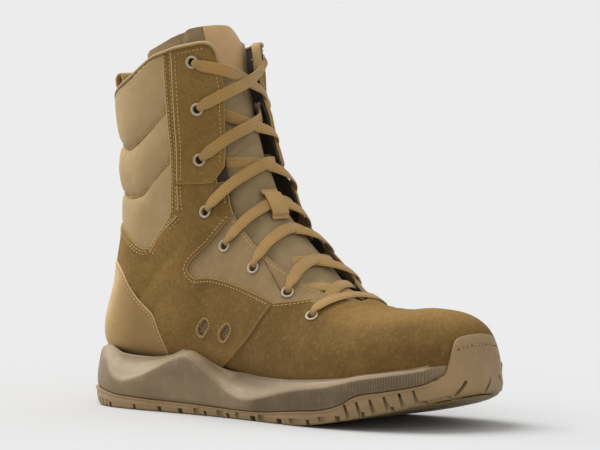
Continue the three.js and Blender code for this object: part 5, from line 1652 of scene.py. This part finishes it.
def make_vents(side, word):
    for number, vent in enumerate(VENTS):
        ring = on_side(vent_ring(*vent, 1.2), step=0.5, rounded=False)
        halves = [ring[:len(ring) // 2], ring[len(ring) // 2:]]
        panel(f"vent_mesh_{word}_{number + 1}", halves, MESH, leather_out(-0.35, 30, 0.0), 0.5,
              side=side, cell=1.2, border=0, edge_round=0)


def make_cut_edges(side, word):
    """The pale cut edges along both sides of the strip and down its slanting end."""
    lines = ((STRIP_LEFT, 1.35, 0.0), (STRIP_RIGHT, 2.15, 0.3), (STRIP_LOW, 1.5, 0.0),
             (SLANT_RIGHT, 1.5, 0.0), (SLANT_LEFT, 1.35, 0.0))
    for number, (line, out, aside) in enumerate(lines):
        s, t = beside(line, aside).T
        mesh = sweep(lifted(s, side * t, out), skin_normal(s, side * t), oval(1.1, 0.9, 8, 2.0), "cut_edge")
        add_strip(f"cut_edge_{word}_{number + 1}", mesh, CUT_EDGE)


make_vamp()
make_quarter()
make_pad()
make_counter()
make_lining()
make_tongue()
make_patch()
make_insole()
make_binding()
for flap in SIDES:
    make_eyestay(*flap)
    make_fabric(*flap)
    for eyelet_number in range(len(EYELETS)):
        eyelet_ring(eyelet_number, *flap)
for crossing_row in range(len(CROSSINGS)):
    make_crossing(crossing_row)
make_bar()
make_keeper()
make_pull_loop()
make_midsole()
make_outsole()
for flap in SIDES:
    make_vents(*flap)
for flap in SIDES:
    make_cut_edges(*flap)
sew_leather()
sew_channels()
sew_keeper()
sew_patch()


# Camera: where it looks, its distance, angles and lens. Lamps: name, direction, strength and spread
LOOK_AT, DISTANCE = (0.00687, 0.001463, 0.121625), 3.0
AZIMUTH, ELEVATION = 41.0, 3.474
LENS, SENSOR = 282.4, 36
SUNS = [("key", (-0.46, -0.12, 0.84), 1.00, 40), ("front", (0.75, -0.35, 0.45), 0.10, 60),
        ("rim", (-0.92, -0.05, 0.25), 0.30, 40)]
SKY = 0.84
FLOOR = SKY / (SKY + sum(strength * Vector(way).normalized().z for _, way, strength, _ in SUNS))


def add_camera():
    azimuth, elevation = math.radians(AZIMUTH), math.radians(ELEVATION)
    back = Vector((math.sin(azimuth) * math.cos(elevation), -math.cos(azimuth) * math.cos(elevation),
                   math.sin(elevation)))
    camera = bpy.data.cameras.new("camera")
    camera.lens = LENS
    camera.sensor_width = SENSOR
    obj = link("camera", camera)
    obj.location = Vector(LOOK_AT) + back * DISTANCE
    obj.rotation_euler = back.to_track_quat("Z", "Y").to_euler()
    bpy.context.scene.camera = obj


def add_sun(name, way, strength, spread):
    """A soft lamp from a direction, strong enough to add this much to a white face square to it."""
    lamp = bpy.data.lights.new(name, "SUN")
    lamp.energy = strength * math.pi
    lamp.angle = math.radians(spread)
    link(name, lamp).rotation_euler = Vector(way).to_track_quat("Z", "Y").to_euler()


def add_studio():
    """A pale floor, as grey as makes it as bright as the sky in the lamps' light, and the sky."""
    bm = bmesh.new()
    bmesh.ops.create_grid(bm, x_segments=1, y_segments=1, size=60.0)
    mesh = bpy.data.meshes.new("floor")
    bm.to_mesh(mesh)
    bm.free()
    pale = bpy.data.materials.new("pale_floor")
    pale.use_nodes = True
    inputs = pale.node_tree.nodes["Principled BSDF"].inputs
    inputs["Base Color"].default_value = (FLOOR, FLOOR, FLOOR, 1)
    inputs["Roughness"].default_value = 1.0
    inputs["Specular IOR Level"].default_value = 0.0
    mesh.materials.append(pale)
    link("floor", mesh)
    world = bpy.data.worlds.new("studio")
    world.use_nodes = True
    world.node_tree.nodes["Background"].inputs[0].default_value = (1, 1, 1, 1)
    world.node_tree.nodes["Background"].inputs[1].default_value = SKY
    bpy.context.scene.world = world
    for lamp in SUNS:
        add_sun(*lamp)
    bpy.context.scene.view_settings.view_transform = "Standard"


add_camera()
add_studio()
